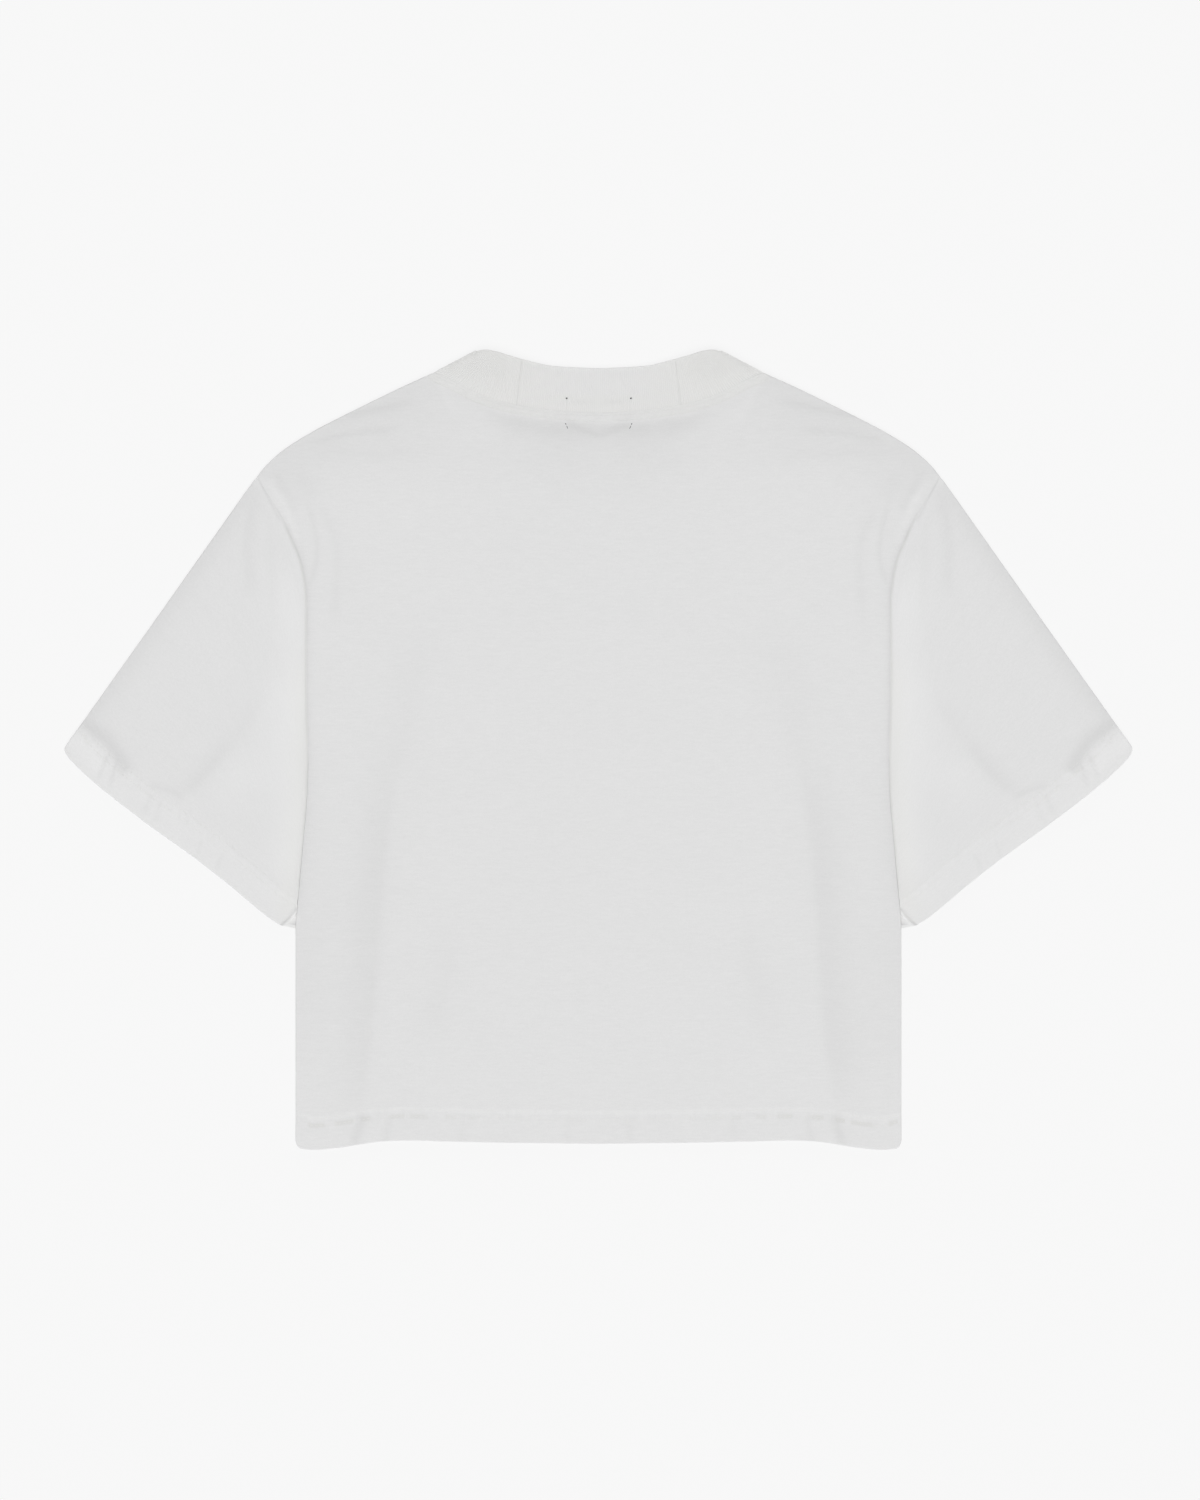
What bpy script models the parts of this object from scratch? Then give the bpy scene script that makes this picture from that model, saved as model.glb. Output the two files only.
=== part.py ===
"""Cropped T-shirt with wide short sleeves and a ribbed neckband, laid flat with its back up.

X runs across the garment, Y from the hem to the neck, and Z up from the surface that it
lies on. The origin is at the middle of its footprint. Every piece is an open sheet with
the cloth's thickness behind it; its two halves mirror each other about X = 0.
"""

import math
from collections import namedtuple

import bmesh
import bpy
from mathutils import Vector

# Driving dimensions, in metres
JERSEY = 0.0011
RIB = 0.0015
SEAM_GAP = 0.0003
SIDE_SEAM_GAP = 0.0007
TOP = 0.0036
NECK_TOP = 0.0041
HEM_DEPTH = 0.020
HEM_STEP = 0.0006
HEM_STEP_WIDTH = 0.0015
RIB_RISE = 0.0002
SHIFT_REACH = 0.25

# Grid sizes, in faces
RIM_ANGLES = (90, 72, 36)
NECK_COLUMNS = 10
BACK_SHOULDER_COLUMNS = 9
FRONT_SHOULDER_COLUMNS = 5
ARMHOLE_ROWS = 11
SIDE_ROWS = 8
SLEEVE_ROWS = 9
BAND_TURN_ANGLES = (30, 60, 90, 120, 150, 180)
BAND_ACROSS = 4
BAND_ROWS = 5
FRONT_BAND_ROWS = 9
RIM_FADE_ROWS = 4
HEM_SHARES = (0.08, 0.5, 1.0)

# Outlines in plan, in metres from the origin, for the half on the side of +X
Point = namedtuple("Point", "x y")
SHOULDER = (
    Point(0.1069, 0.2450),
    Point(0.1323, 0.2334),
    Point(0.1719, 0.2139),
    Point(0.1901, 0.2041),
    Point(0.2051, 0.1944),
    Point(0.2161, 0.1846),
    Point(0.2223, 0.1769),
)
ARMHOLE = (
    Point(0.2223, 0.1769),
    Point(0.2129, 0.1619),
    Point(0.2051, 0.1497),
    Point(0.1990, 0.1359),
    Point(0.1938, 0.1237),
    Point(0.1908, 0.1099),
    Point(0.1895, 0.0943),
    Point(0.1897, 0.0600),
    Point(0.1895, 0.0325),
    Point(0.1886, -0.0040),
)
SIDE = (
    Point(0.1886, -0.0040),
    Point(0.1895, -0.0325),
    Point(0.1921, -0.0624),
    Point(0.1947, -0.0917),
    Point(0.1968, -0.1120),
    Point(0.1970, -0.1300),
    Point(0.1970, -0.1900),
    Point(0.1970, -0.2372),
)
HEM_END = (
    Point(0.1970, -0.2372),
    Point(0.1970, -0.2509),
    Point(0.1950, -0.2572),
)
HEM = (
    Point(0.0000, -0.2563),
    Point(0.0478, -0.2558),
    Point(0.0874, -0.2551),
    Point(0.1206, -0.2542),
    Point(0.1407, -0.2548),
    Point(0.1537, -0.2564),
    Point(0.1674, -0.2587),
    Point(0.1817, -0.2603),
    Point(0.1890, -0.2598),
    Point(0.1950, -0.2572),
)
SLEEVE_FOLD = (
    Point(0.2226, 0.1765),
    Point(0.2311, 0.1651),
    Point(0.2869, 0.0861),
    Point(0.3347, 0.0188),
)
CUFF_END_OUTER = (
    Point(0.3347, 0.0188),
    Point(0.3460, 0.0030),
    Point(0.3474, -0.0010),
)
SLEEVE_UNDERARM = (
    Point(0.1890, -0.0040),
    Point(0.1899, -0.0325),
    Point(0.1925, -0.0624),
    Point(0.1951, -0.0917),
    Point(0.1962, -0.0990),
)
CUFF_END_INNER = (
    Point(0.1962, -0.0990),
    Point(0.1985, -0.1075),
    Point(0.2064, -0.1138),
)
CUFF = (
    Point(0.2064, -0.1138),
    Point(0.2168, -0.1079),
    Point(0.2421, -0.0870),
    Point(0.2655, -0.0689),
    Point(0.2928, -0.0494),
    Point(0.3182, -0.0299),
    Point(0.3299, -0.0202),
    Point(0.3403, -0.0104),
    Point(0.3455, -0.0046),
    Point(0.3474, -0.0010),
)
LOWER_CUFF_END_INNER = (
    Point(0.1962, -0.0990),
    Point(0.1978, -0.1085),
    Point(0.1990, -0.1178),
)

# The neckband's sections, each a line from its free edge to its seam
Section = namedtuple("Section", "edge_x edge_y seam_x seam_y")
BACK_BAND = (
    Section(0.0000, 0.2477, 0.0000, 0.2184),
    Section(0.0153, 0.2483, 0.0205, 0.2194),
    Section(0.0328, 0.2496, 0.0348, 0.2208),
    Section(0.0497, 0.2535, 0.0532, 0.2236),
    Section(0.0588, 0.2561, 0.0635, 0.2258),
    Section(0.0673, 0.2587, 0.0800, 0.2315),
    Section(0.0740, 0.2596, 0.0935, 0.2385),
)
TURN = Section(0.0797, 0.2594, 0.1066, 0.2452)
FRONT_BAND = (
    Section(0.0755, 0.2480, 0.1045, 0.2370),
    Section(0.0705, 0.2280, 0.0993, 0.2190),
    Section(0.0600, 0.2070, 0.0850, 0.1905),
    Section(0.0430, 0.1910, 0.0590, 0.1660),
    Section(0.0220, 0.1815, 0.0295, 0.1525),
    Section(0.0000, 0.1780, 0.0000, 0.1480),
)

# Where the single layer at the neck sinks to the surface, inside the front neckline
HOLLOW_CENTRE_Y = 0.228
HOLLOW_HALF_WIDTH = 0.062
HOLLOW_HALF_HEIGHT = 0.046
HOLLOW_DEPTH = 0.0019
HOLLOW_FLOOR = 0.45

# Largest folds of the upper layer: troughs have a negative height
Fold = namedtuple("Fold", "width height path")
BODY_FOLDS = (
    Fold(0.015, -0.0009, (Point(0.122, 0.045), Point(0.140, -0.025), Point(0.147, -0.081),
                          Point(0.156, -0.137), Point(0.163, -0.211), Point(0.156, -0.256))),
    Fold(0.014, 0.0010, (Point(0.146, 0.048), Point(0.166, -0.030), Point(0.172, -0.081),
                         Point(0.180, -0.137), Point(0.184, -0.215), Point(0.180, -0.260))),
    Fold(0.013, -0.0006, (Point(0.117, 0.087), Point(0.117, 0.012), Point(0.103, -0.137),
                          Point(0.103, -0.205))),
    Fold(0.014, 0.0007, (Point(0.128, 0.080), Point(0.128, 0.020), Point(0.122, -0.100),
                         Point(0.126, -0.215))),
    Fold(0.006, -0.0005, (Point(0.160, 0.2105), Point(0.143, 0.2150), Point(0.1225, 0.2160))),
    Fold(0.009, 0.0006, (Point(0.166, 0.197), Point(0.140, 0.203), Point(0.118, 0.205))),
    Fold(0.008, 0.0008, (Point(0.181, 0.150), Point(0.178, 0.130), Point(0.181, 0.100))),
)
SLEEVE_FOLDS = (
    Fold(0.012, -0.0009, (Point(0.207, 0.035), Point(0.226, 0.015), Point(0.247, -0.006),
                          Point(0.263, -0.022), Point(0.277, -0.031))),
    Fold(0.014, 0.0010, (Point(0.205, 0.010), Point(0.226, -0.012), Point(0.246, -0.032))),
    Fold(0.006, -0.0010, (Point(0.332, 0.018), Point(0.322, 0.009), Point(0.313, -0.001),
                          Point(0.308, -0.0085))),
    Fold(0.007, -0.0005, (Point(0.222, 0.168), Point(0.2265, 0.142), Point(0.2265, 0.122),
                          Point(0.2285, 0.085))),
    Fold(0.009, 0.0008, (Point(0.200, 0.100), Point(0.200, 0.030), Point(0.202, -0.060))),
)


# Curves and heights

def smooth_step(value):
    value = min(max(value, 0.0), 1.0)
    return value * value * (3.0 - 2.0 * value)


def curve_through(points, steps=8):
    """Points along a smooth curve that passes through each of the given ones."""
    knots = [Vector(point) for point in points]
    knots = [2 * knots[0] - knots[1], *knots, 2 * knots[-1] - knots[-2]]
    curve = []
    for a, b, c, d in zip(knots, knots[1:], knots[2:], knots[3:]):
        for step in range(steps):
            t = step / steps
            curve.append(0.5 * (2 * b + (c - a) * t + (2 * a - 5 * b + 4 * c - d) * t * t
                                + (3 * b - a - 3 * c + d) * t ** 3))
    curve.append(knots[-2])
    return curve


def length_of(curve):
    return sum((b - a).length for a, b in zip(curve, curve[1:]))


def along(curve, shares):
    """The curve's points at these shares of its length."""
    total = length_of(curve)
    found = []
    index = 0
    passed = 0.0
    for share in shares:
        wanted = share * total
        while index < len(curve) - 2 and passed + (curve[index + 1] - curve[index]).length < wanted:
            passed += (curve[index + 1] - curve[index]).length
            index += 1
        piece = curve[index + 1] - curve[index]
        found.append(curve[index] + piece * min((wanted - passed) / piece.length, 1.0))
    return found


def even(count):
    return [step / count for step in range(count + 1)]


def rim_insets(radius):
    """How far inside the edge each line of a rounded rim lies, from the edge inwards."""
    return [radius * (1.0 - math.sin(math.radians(angle))) for angle in RIM_ANGLES]


def shares_to_rim(length, count, radius):
    """Even shares as far as the rim, then one for each line that rounds it."""
    flat = [share * (1.0 - radius / length) for share in even(count)]
    return flat + [1.0 - inset / length for inset in reversed(rim_insets(radius))]


def shares_between_rims(length, count):
    """Shares of a line that rounds a rim at both of its ends."""
    radius = TOP / 2
    rims = [inset / length for inset in rim_insets(radius)]
    flat = [(radius + (length - 2 * radius) * share) / length for share in even(count)]
    return rims + flat + [1.0 - share for share in reversed(rims)]


def rim_drop(top_part, side_part, radius):
    """Fall of a rounded rim, where the parts are the sines of its angles."""
    reach = min(math.hypot(top_part, side_part), 1.0)
    return radius * (1.0 - math.sqrt(1.0 - reach * reach))


def distance_to_path(point, path):
    best = math.inf
    for a, b in zip(path, path[1:]):
        start = Vector(a)
        run = Vector(b) - start
        share = min(max((point - start).dot(run) / run.length_squared, 0.0), 1.0)
        best = min(best, (point - start - run * share).length)
    return best


def fold_height(point, folds):
    mirrored = Vector((abs(point.x), point.y))
    return sum(fold.height * math.exp(-(distance_to_path(mirrored, fold.path) / fold.width) ** 2)
               for fold in folds)


def neck_hollow(point):
    reach = math.hypot(point.x / HOLLOW_HALF_WIDTH,
                       (point.y - HOLLOW_CENTRE_Y) / HOLLOW_HALF_HEIGHT)
    return HOLLOW_DEPTH * smooth_step((1.0 - reach) / (1.0 - HOLLOW_FLOOR))


def neck_rise(point):
    """The extra height of the layers where the neckband is folded over itself."""
    reach = math.hypot(abs(point.x) - 0.088, point.y - 0.243)
    return (NECK_TOP - TOP) * smooth_step((0.045 - reach) / 0.025)


def back_height(point):
    return TOP + neck_rise(point) - neck_hollow(point) + fold_height(point, BODY_FOLDS)


def hem_rise(distance):
    """The turned-up hem's extra height at this distance from its edge."""
    return HEM_STEP * smooth_step((HEM_DEPTH + HEM_STEP_WIDTH - distance) / HEM_STEP_WIDTH)


# Meshes

def finish_of(name, colour, roughness):
    material = bpy.data.materials.new(name)
    material.use_nodes = True
    shader = material.node_tree.nodes["Principled BSDF"]
    shader.inputs["Base Color"].default_value = (*colour, 1.0)
    shader.inputs["Roughness"].default_value = roughness
    shader.inputs["Metallic"].default_value = 0.0
    return material


def sheet_object(name, rows, material, wall, mirrored=False, downward=False, tube=False):
    """A grid moved onto the rows of points, with the cloth's thickness behind it."""
    mesh = bpy.data.meshes.new(name)
    grid = bmesh.new()
    bmesh.ops.create_grid(grid, x_segments=len(rows[0]) - 1, y_segments=len(rows) - 1)
    grid.verts.ensure_lookup_table()
    for vertex, point in zip(grid.verts, (point for row in rows for point in row)):
        vertex.co = point
    if tube:
        bmesh.ops.remove_doubles(grid, verts=grid.verts, dist=1e-6)
    if downward:
        bmesh.ops.reverse_faces(grid, faces=grid.faces)
    grid.to_mesh(mesh)
    grid.free()
    mesh.materials.append(material)
    mesh.shade_smooth()
    piece = bpy.data.objects.new(name, mesh)
    garment.objects.link(piece)
    if mirrored:
        mirror = piece.modifiers.new("Other half", "MIRROR")
        mirror.merge_threshold = 0.00001
    cloth = piece.modifiers.new("Cloth", "SOLIDIFY")
    cloth.thickness = wall
    cloth.offset = -1.0
    return piece


# Body panels

def panel_plan(neck_curve, shoulder_columns):
    """Plan of half a body panel, as rows from the shoulder down to the hem."""
    rim = TOP / 2
    columns = NECK_COLUMNS + shoulder_columns
    shoulder = curve_through(SHOULDER)
    top = along(neck_curve, even(NECK_COLUMNS - 1))
    top += along(shoulder, shares_to_rim(length_of(shoulder), shoulder_columns, rim))
    underarm_y = ARMHOLE[-1].y
    chest = [Vector((0.0, underarm_y)), Vector(ARMHOLE[-1])]
    middle = along(chest, shares_to_rim(length_of(chest), columns, rim))
    hem = curve_through(HEM)
    bottom = along(hem, shares_to_rim(length_of(hem), columns, rim))

    armhole = curve_through(ARMHOLE)
    upper_shares = shares_between_rims(length_of(armhole), ARMHOLE_ROWS)
    centre_line = [Vector(neck_curve[0]), Vector((0.0, underarm_y))]
    upper = blended(top, middle, along(centre_line, upper_shares),
                    along(armhole, upper_shares), upper_shares)

    hem_line_y = HEM[0].y + HEM_DEPTH
    side_shares = even(SIDE_ROWS)[1:]
    left = along([Vector((0.0, underarm_y)), Vector((0.0, hem_line_y))], side_shares)
    right = along(curve_through(SIDE), side_shares)
    left += along([Vector((0.0, hem_line_y)), Vector(HEM[0])], HEM_SHARES)
    right += along(curve_through(HEM_END), HEM_SHARES)
    down = [(middle[0].y - point.y) / (middle[0].y - bottom[0].y) for point in left]
    return upper + blended(middle, bottom, left, right, down)


def blended(top, bottom, left, right, shares):
    """Rows between two edges at these shares of the way down, with their ends on the others."""
    rows = []
    for start, end, share in zip(left, right, shares):
        row = [a.lerp(b, share) for a, b in zip(top, bottom)]
        start_gap = start - row[0]
        end_gap = end - row[-1]
        total = length_of(row)
        passed = 0.0
        moved = [start]
        for before, point in zip(row, row[1:]):
            passed += (point - before).length / total
            moved.append(point + start_gap * (1.0 - passed) + end_gap * passed)
        rows.append(moved)
    return rows


def rim_parts(row_index, column, columns):
    """The sines of the shoulder rim's and the side rim's angles at a point of a panel."""
    underarm_row = 2 * len(RIM_ANGLES) + ARMHOLE_ROWS
    top_part = 0.0
    if row_index < len(RIM_ANGLES):
        top_part = math.sin(math.radians(RIM_ANGLES[row_index]))
        top_part *= smooth_step(column - NECK_COLUMNS + 1)
    side_part = 0.0
    from_side = columns - 1 - column
    if from_side < len(RIM_ANGLES):
        side_part = math.sin(math.radians(RIM_ANGLES[from_side]))
        side_part *= smooth_step((row_index - underarm_row + RIM_FADE_ROWS) / RIM_FADE_ROWS)
    return top_part, side_part


def panel_rows(neck_curve, shoulder_columns, height):
    """Points of half a panel, where height(plan point, rim fall, distance to the hem) is Z."""
    plan = panel_plan(neck_curve, shoulder_columns)
    radius = (TOP - SIDE_SEAM_GAP) / 2
    rows = []
    for row_index, row in enumerate(plan):
        points = []
        for column, point in enumerate(row):
            parts = rim_parts(row_index, column, len(row))
            to_hem = (point - plan[-1][column]).length
            z = height(point, rim_drop(*parts, radius), to_hem)
            points.append(Vector((point.x, point.y, z)))
        rows.append(points)
    return rows[::-1]


def fold_section(section):
    """The section's ends moved in from the outline by the fold's radius, and that radius as a vector."""
    edge = Vector((section.edge_x, section.edge_y))
    seam = Vector((section.seam_x, section.seam_y))
    run = (seam - edge).normalized()
    outward = Vector((-run.y, run.x))
    radius = (NECK_TOP + RIB_RISE) / 2
    return edge - outward * radius, seam - outward * radius, outward * radius


def neckline(sections):
    """A panel's neckline from the middle to the fold: the band's seam, moved by the seam gap."""
    seams = [Point(section.seam_x, section.seam_y) for section in sections]
    curve = curve_through([*seams, fold_section(TURN)[1]])
    moved = []
    for index, point in enumerate(curve):
        run = curve[min(index + 1, len(curve) - 1)] - curve[max(index - 1, 0)]
        moved.append(point + Vector((run.y, -run.x)).normalized() * SEAM_GAP)
    moved[0].x = 0.0
    return moved


def back_panel():
    def height(point, drop, to_hem):
        return back_height(point) + hem_rise(to_hem) - drop

    rows = panel_rows(neckline(BACK_BAND), BACK_SHOULDER_COLUMNS, height)
    return sheet_object("back_panel", rows, body_cloth, JERSEY, mirrored=True)


def front_panel():
    def height(point, drop, to_hem):
        return drop

    rows = panel_rows(neckline(FRONT_BAND[::-1]), FRONT_SHOULDER_COLUMNS, height)
    return sheet_object("front_panel", rows, body_cloth, JERSEY, mirrored=True, downward=True)


# Sleeves

def sleeve_plan():
    """Rows of the upper layer's plan, and how far the lower layer's inner end is from each."""
    armhole = curve_through(ARMHOLE[::-1])
    armhole = [point + Vector((SEAM_GAP, 0.0)) for point in armhole]
    armhole[-1] = Vector(SLEEVE_FOLD[0])
    cuff = curve_through(CUFF)

    def stations(curve):
        return along(curve, shares_between_rims(length_of(curve), ARMHOLE_ROWS))

    shares = even(SLEEVE_ROWS)
    underarm = along(curve_through(SLEEVE_UNDERARM), shares)
    inner = underarm + along(curve_through(CUFF_END_INNER), HEM_SHARES)
    lower_inner = underarm + along(curve_through(LOWER_CUFF_END_INNER), HEM_SHARES)
    shifts = [lower - upper for lower, upper in zip(lower_inner, inner)]
    outer = along(curve_through(SLEEVE_FOLD), shares) + along(curve_through(CUFF_END_OUTER), HEM_SHARES)
    sleeve_length = length_of(curve_through(SLEEVE_FOLD))
    to_line = sleeve_length / (sleeve_length + HEM_DEPTH)
    down = [share * to_line for share in shares]
    down += [to_line + (1.0 - to_line) * share for share in HEM_SHARES]
    return blended(stations(armhole), stations(cuff), inner, outer, down), shifts


def sleeve(name, side):
    radius = TOP / 2
    plan, shifts = sleeve_plan()
    rim_sines = [math.sin(math.radians(angle)) for angle in RIM_ANGLES]
    rows = []
    for row, shift in zip(plan, shifts):
        last = len(row) - 1
        sines = rim_sines + [0.0] * (len(row) - 2 * len(rim_sines)) + rim_sines[::-1]
        to_cuff = [(point - end).length for point, end in zip(row, plan[-1])]
        upper = []
        lower = []
        for i, (point, sine, distance) in enumerate(zip(row, sines, to_cuff)):
            drop = rim_drop(sine, 0.0, radius)
            rise = fold_height(point, SLEEVE_FOLDS) + hem_rise(distance)
            upper.append(Vector((point.x, point.y, TOP - drop + rise * (1.0 - sine))))
            around = 1.0 if sine < 1.0 else 0.5
            moved = point + shift * around * smooth_step(1.0 - i / last / SHIFT_REACH)
            lower.append(Vector((moved.x, moved.y, drop)))
        upper[0] = lower[0].copy()
        ring = upper + lower[-2::-1]
        rows.append([Vector((side * point.x, point.y, point.z)) for point in ring])
    return sheet_object(name, rows, sleeve_cloth, JERSEY, downward=side > 0, tube=True)


# Neckband

def across(edge, seam, height):
    points = [edge.lerp(seam, step) for step in even(BAND_ACROSS)]
    return [Vector((point.x, point.y, height(point))) for point in points]


def band_height(point):
    return back_height(point) + RIB_RISE


def strip_rows(sections, count, height):
    """Sections of the band, evenly spaced along it."""
    edges = curve_through([Point(section.edge_x, section.edge_y) for section in sections])
    seams = curve_through([Point(section.seam_x, section.seam_y) for section in sections])
    ends = zip(along(edges, even(count)), along(seams, even(count)))
    return [across(edge, seam, height) for edge, seam in ends]


def neckband_back():
    rows = strip_rows(BACK_BAND[:4], BAND_ROWS, band_height)
    for point in rows[-1]:
        point.x -= SEAM_GAP / 2
    return sheet_object("neckband_back", rows, rib_cloth, RIB, mirrored=True)


def neckband_front():
    """The band's longer strip: over the neck's sides, round the folds and under the front."""
    edge, seam, reach = fold_section(TURN)
    turn = Section(*edge, *seam)
    rows = strip_rows([*BACK_BAND[3:], turn], BAND_ROWS, band_height)
    for point in rows[0]:
        point.x += SEAM_GAP / 2
    for angle in BAND_TURN_ANGLES:
        out = reach * math.sin(math.radians(angle))
        level = reach.length * (1.0 + math.cos(math.radians(angle)))
        rows.append(across(edge + out, seam + out, lambda point: level))
    rows += strip_rows([turn, *FRONT_BAND], FRONT_BAND_ROWS, lambda point: 0.0)[1:]
    return sheet_object("neckband_front", rows, rib_cloth, RIB, mirrored=True)


for leftover in list(bpy.data.objects):
    bpy.data.objects.remove(leftover, do_unlink=True)

garment = bpy.data.collections.new("crop_top")
bpy.context.scene.collection.children.link(garment)
body_cloth = finish_of("Off-white jersey", (0.74, 0.74, 0.735), 0.9)
sleeve_cloth = finish_of("Off-white jersey, sleeves", (0.75, 0.75, 0.742), 0.9)
rib_cloth = finish_of("Off-white rib", (0.73, 0.73, 0.715), 0.92)

front_panel()
back_panel()
sleeve("sleeve_right", 1)
sleeve("sleeve_left", -1)
neckband_back()
neckband_front()
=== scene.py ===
"""Cropped T-shirt laid flat with its back up: its cloth, seams, stitches, light and camera.

X runs across the garment, Y from the hem to the neck and Z up, in metres.
"""

import math
from collections import namedtuple

import bpy
import numpy as np
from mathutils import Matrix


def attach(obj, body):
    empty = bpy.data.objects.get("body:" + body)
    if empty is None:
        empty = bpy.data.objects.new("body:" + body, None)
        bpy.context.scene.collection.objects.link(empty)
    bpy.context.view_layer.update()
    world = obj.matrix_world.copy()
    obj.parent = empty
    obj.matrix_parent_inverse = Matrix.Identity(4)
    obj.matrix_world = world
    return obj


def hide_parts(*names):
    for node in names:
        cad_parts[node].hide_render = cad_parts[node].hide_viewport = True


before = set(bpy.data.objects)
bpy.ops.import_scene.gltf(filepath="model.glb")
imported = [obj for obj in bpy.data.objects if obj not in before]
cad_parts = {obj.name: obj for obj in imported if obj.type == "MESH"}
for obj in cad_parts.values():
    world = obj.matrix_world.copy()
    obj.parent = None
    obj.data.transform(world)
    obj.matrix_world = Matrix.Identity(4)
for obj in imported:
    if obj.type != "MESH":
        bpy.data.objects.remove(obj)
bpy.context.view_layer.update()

# Cloth, in metres
JERSEY = 0.00075
RIB = 0.0013
TURN_RADIUS = 0.0008
SEAM_LEVEL = 0.0013
SEAM_GAP = 0.00005
NECK_TUCK = 0.0001
TOP = 0.0026
CROWN = 0.0025
EDGE_RIM = 0.0005
UNDERARM_RIM = 0.00012

# Hems, seams and the stitched strip under the neckband
HEM_DEPTH = 0.0202
HEM_MARGIN = 0.0005
HEM_STEP = 0.00012
HEM_FADE = 0.002
HEM_SLOPE = 0.003
HEM_INSET = 0.0016
INSET_FADE = 0.006
CORNER_RISE = 0.0009
CORNER_DROP = 0.0010
CORNER_SHARES = (1.0, 1.0, 0.25)
HEM_ROWS = (0.0205, 0.0160)
CUFF_ROW_ENDS = 4
SEAM_DIP = 0.00055
DIP_START = 0.012
DIP_FADE = 0.022
BODY_DIP_WIDTH = 0.0022
SLEEVE_DIP_WIDTH = 0.0009
UNDERARM_END = -0.096
UNDERARM_FADE = 0.010
LOWER_SHIFT_SHARE = 0.25
STRIP_DEPTH = 0.0066
STRIP_MARGIN = 0.0008
STRIP_RISE = 0.00010
STRIP_SLOPE = 0.0012
STRIP_FADE = 0.001
STRIP_ROWS = (0.0014, 0.0050)
STRIP_ENDS = 0.0015
STRIP_RIDGE = 0.00008
RIDGE_WIDTH = 0.0007

# Neckband
NECK_TOP = 0.0036
NECK_RISE_REACH = 0.032
BAND_WIDTH = 0.030
RIB_RISE = 0.00012
RIB_PITCH = 0.00125
RIB_DEPTH = 0.00008
BAND_END_DIP = 0.0003
BAND_END_WIDTH = 0.0006
TAPE_RISE = 0.00010
TAPE_DEPTH = 0.012
TAPE_SLOPE = 0.0016
TAPE_SEAM_WIDTH = 0.0020
TAPE_MARGIN = 0.001
TAPE_FADE = 0.002
TURN_REACH = 0.0008
TURN_FULLNESS = 0.8
TURN_SEAM_TAPER = 0.005
TURN_EDGE_TAPER = 0.0015
TURN_RISE_REACH = 0.012
TURN_STEPS = 40
EDGE_STEPS = 7
SAMPLE_CROWDING = 0.95
BAND_SAMPLES = 18
BAND_STEP = RIB_PITCH / 6

# Threads, and the knit's columns and rows
STITCH = 0.0027
STITCH_PITCH = 0.0031
THREAD = 0.00036
WALE = 0.00085
COURSE = 0.00065
CREASE_PERIOD = 0.017

# Grid steps
EDGE_INSETS = (0.0, 0.00006, 0.0002, 0.00045, 0.0008, 0.0013, 0.0020, 0.0030, 0.0044)
CORNER_EDGE = EDGE_INSETS[3]
NECK_INSETS = (*EDGE_INSETS, 0.0056, 0.0063, 0.0069, 0.0078, 0.0095)
HEM_INSETS = (*EDGE_INSETS, 0.0070, 0.0100, 0.0130, 0.0156, 0.0180, 0.0202, 0.0222)
BACK_STEP = 0.0026
SLEEVE_STEP = 0.0019
FRONT_STEP = 0.005

# Outlines in plan, for the half on the side of +X
Point = namedtuple("Point", "x y")
SHOULDER = (
    Point(0.1069, 0.2450), Point(0.1323, 0.2334), Point(0.1719, 0.2139), Point(0.1901, 0.2041),
    Point(0.2051, 0.1944), Point(0.2161, 0.1846), Point(0.2223, 0.1769),
)
ARMHOLE = (
    Point(0.2223, 0.1769), Point(0.2129, 0.1619), Point(0.2051, 0.1497), Point(0.1990, 0.1359),
    Point(0.1938, 0.1237), Point(0.1908, 0.1099), Point(0.1895, 0.0943), Point(0.1897, 0.0600),
    Point(0.1895, 0.0325), Point(0.1886, -0.0040),
)
SIDE = (
    Point(0.1886, -0.0040), Point(0.1895, -0.0325), Point(0.1921, -0.0624), Point(0.1947, -0.0917),
    Point(0.1968, -0.1120), Point(0.1970, -0.1300), Point(0.1970, -0.1900), Point(0.1970, -0.2372),
)
HEM_END = (
    Point(0.1970, -0.2372), Point(0.1971, -0.2515), Point(0.1970, -0.2550), Point(0.1959, -0.2582),
)
HEM = (
    Point(0.0000, -0.2568), Point(0.0478, -0.2563), Point(0.0874, -0.2556), Point(0.1206, -0.2547),
    Point(0.1407, -0.2553), Point(0.1537, -0.2570), Point(0.1674, -0.2592), Point(0.1817, -0.2607),
    Point(0.1895, -0.2605), Point(0.1935, -0.2598), Point(0.1959, -0.2582),
)
SLEEVE_FOLD = (
    Point(0.2226, 0.1765), Point(0.2311, 0.1651), Point(0.2869, 0.0861), Point(0.3347, 0.0188),
)
CUFF_END_OUTER = (
    Point(0.3347, 0.0188), Point(0.3460, 0.0030), Point(0.3474, -0.0010),
)
SLEEVE_UNDERARM = (
    Point(0.1885, -0.0040), Point(0.1894, -0.0325), Point(0.1920, -0.0624), Point(0.1946, -0.0917),
    Point(0.1953, -0.0990),
)
CUFF_END_INNER = (
    Point(0.1953, -0.0990), Point(0.1961, -0.1076), Point(0.2064, -0.1149),
)
CUFF = (
    Point(0.2064, -0.1149), Point(0.2168, -0.1081), Point(0.2421, -0.0870), Point(0.2655, -0.0689),
    Point(0.2928, -0.0494), Point(0.3182, -0.0299), Point(0.3299, -0.0202), Point(0.3403, -0.0104),
    Point(0.3455, -0.0046), Point(0.3474, -0.0010),
)
LOWER_CUFF_END_INNER = (
    Point(0.1953, -0.0990), Point(0.1965, -0.1090), Point(0.1972, -0.1166),
)

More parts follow.
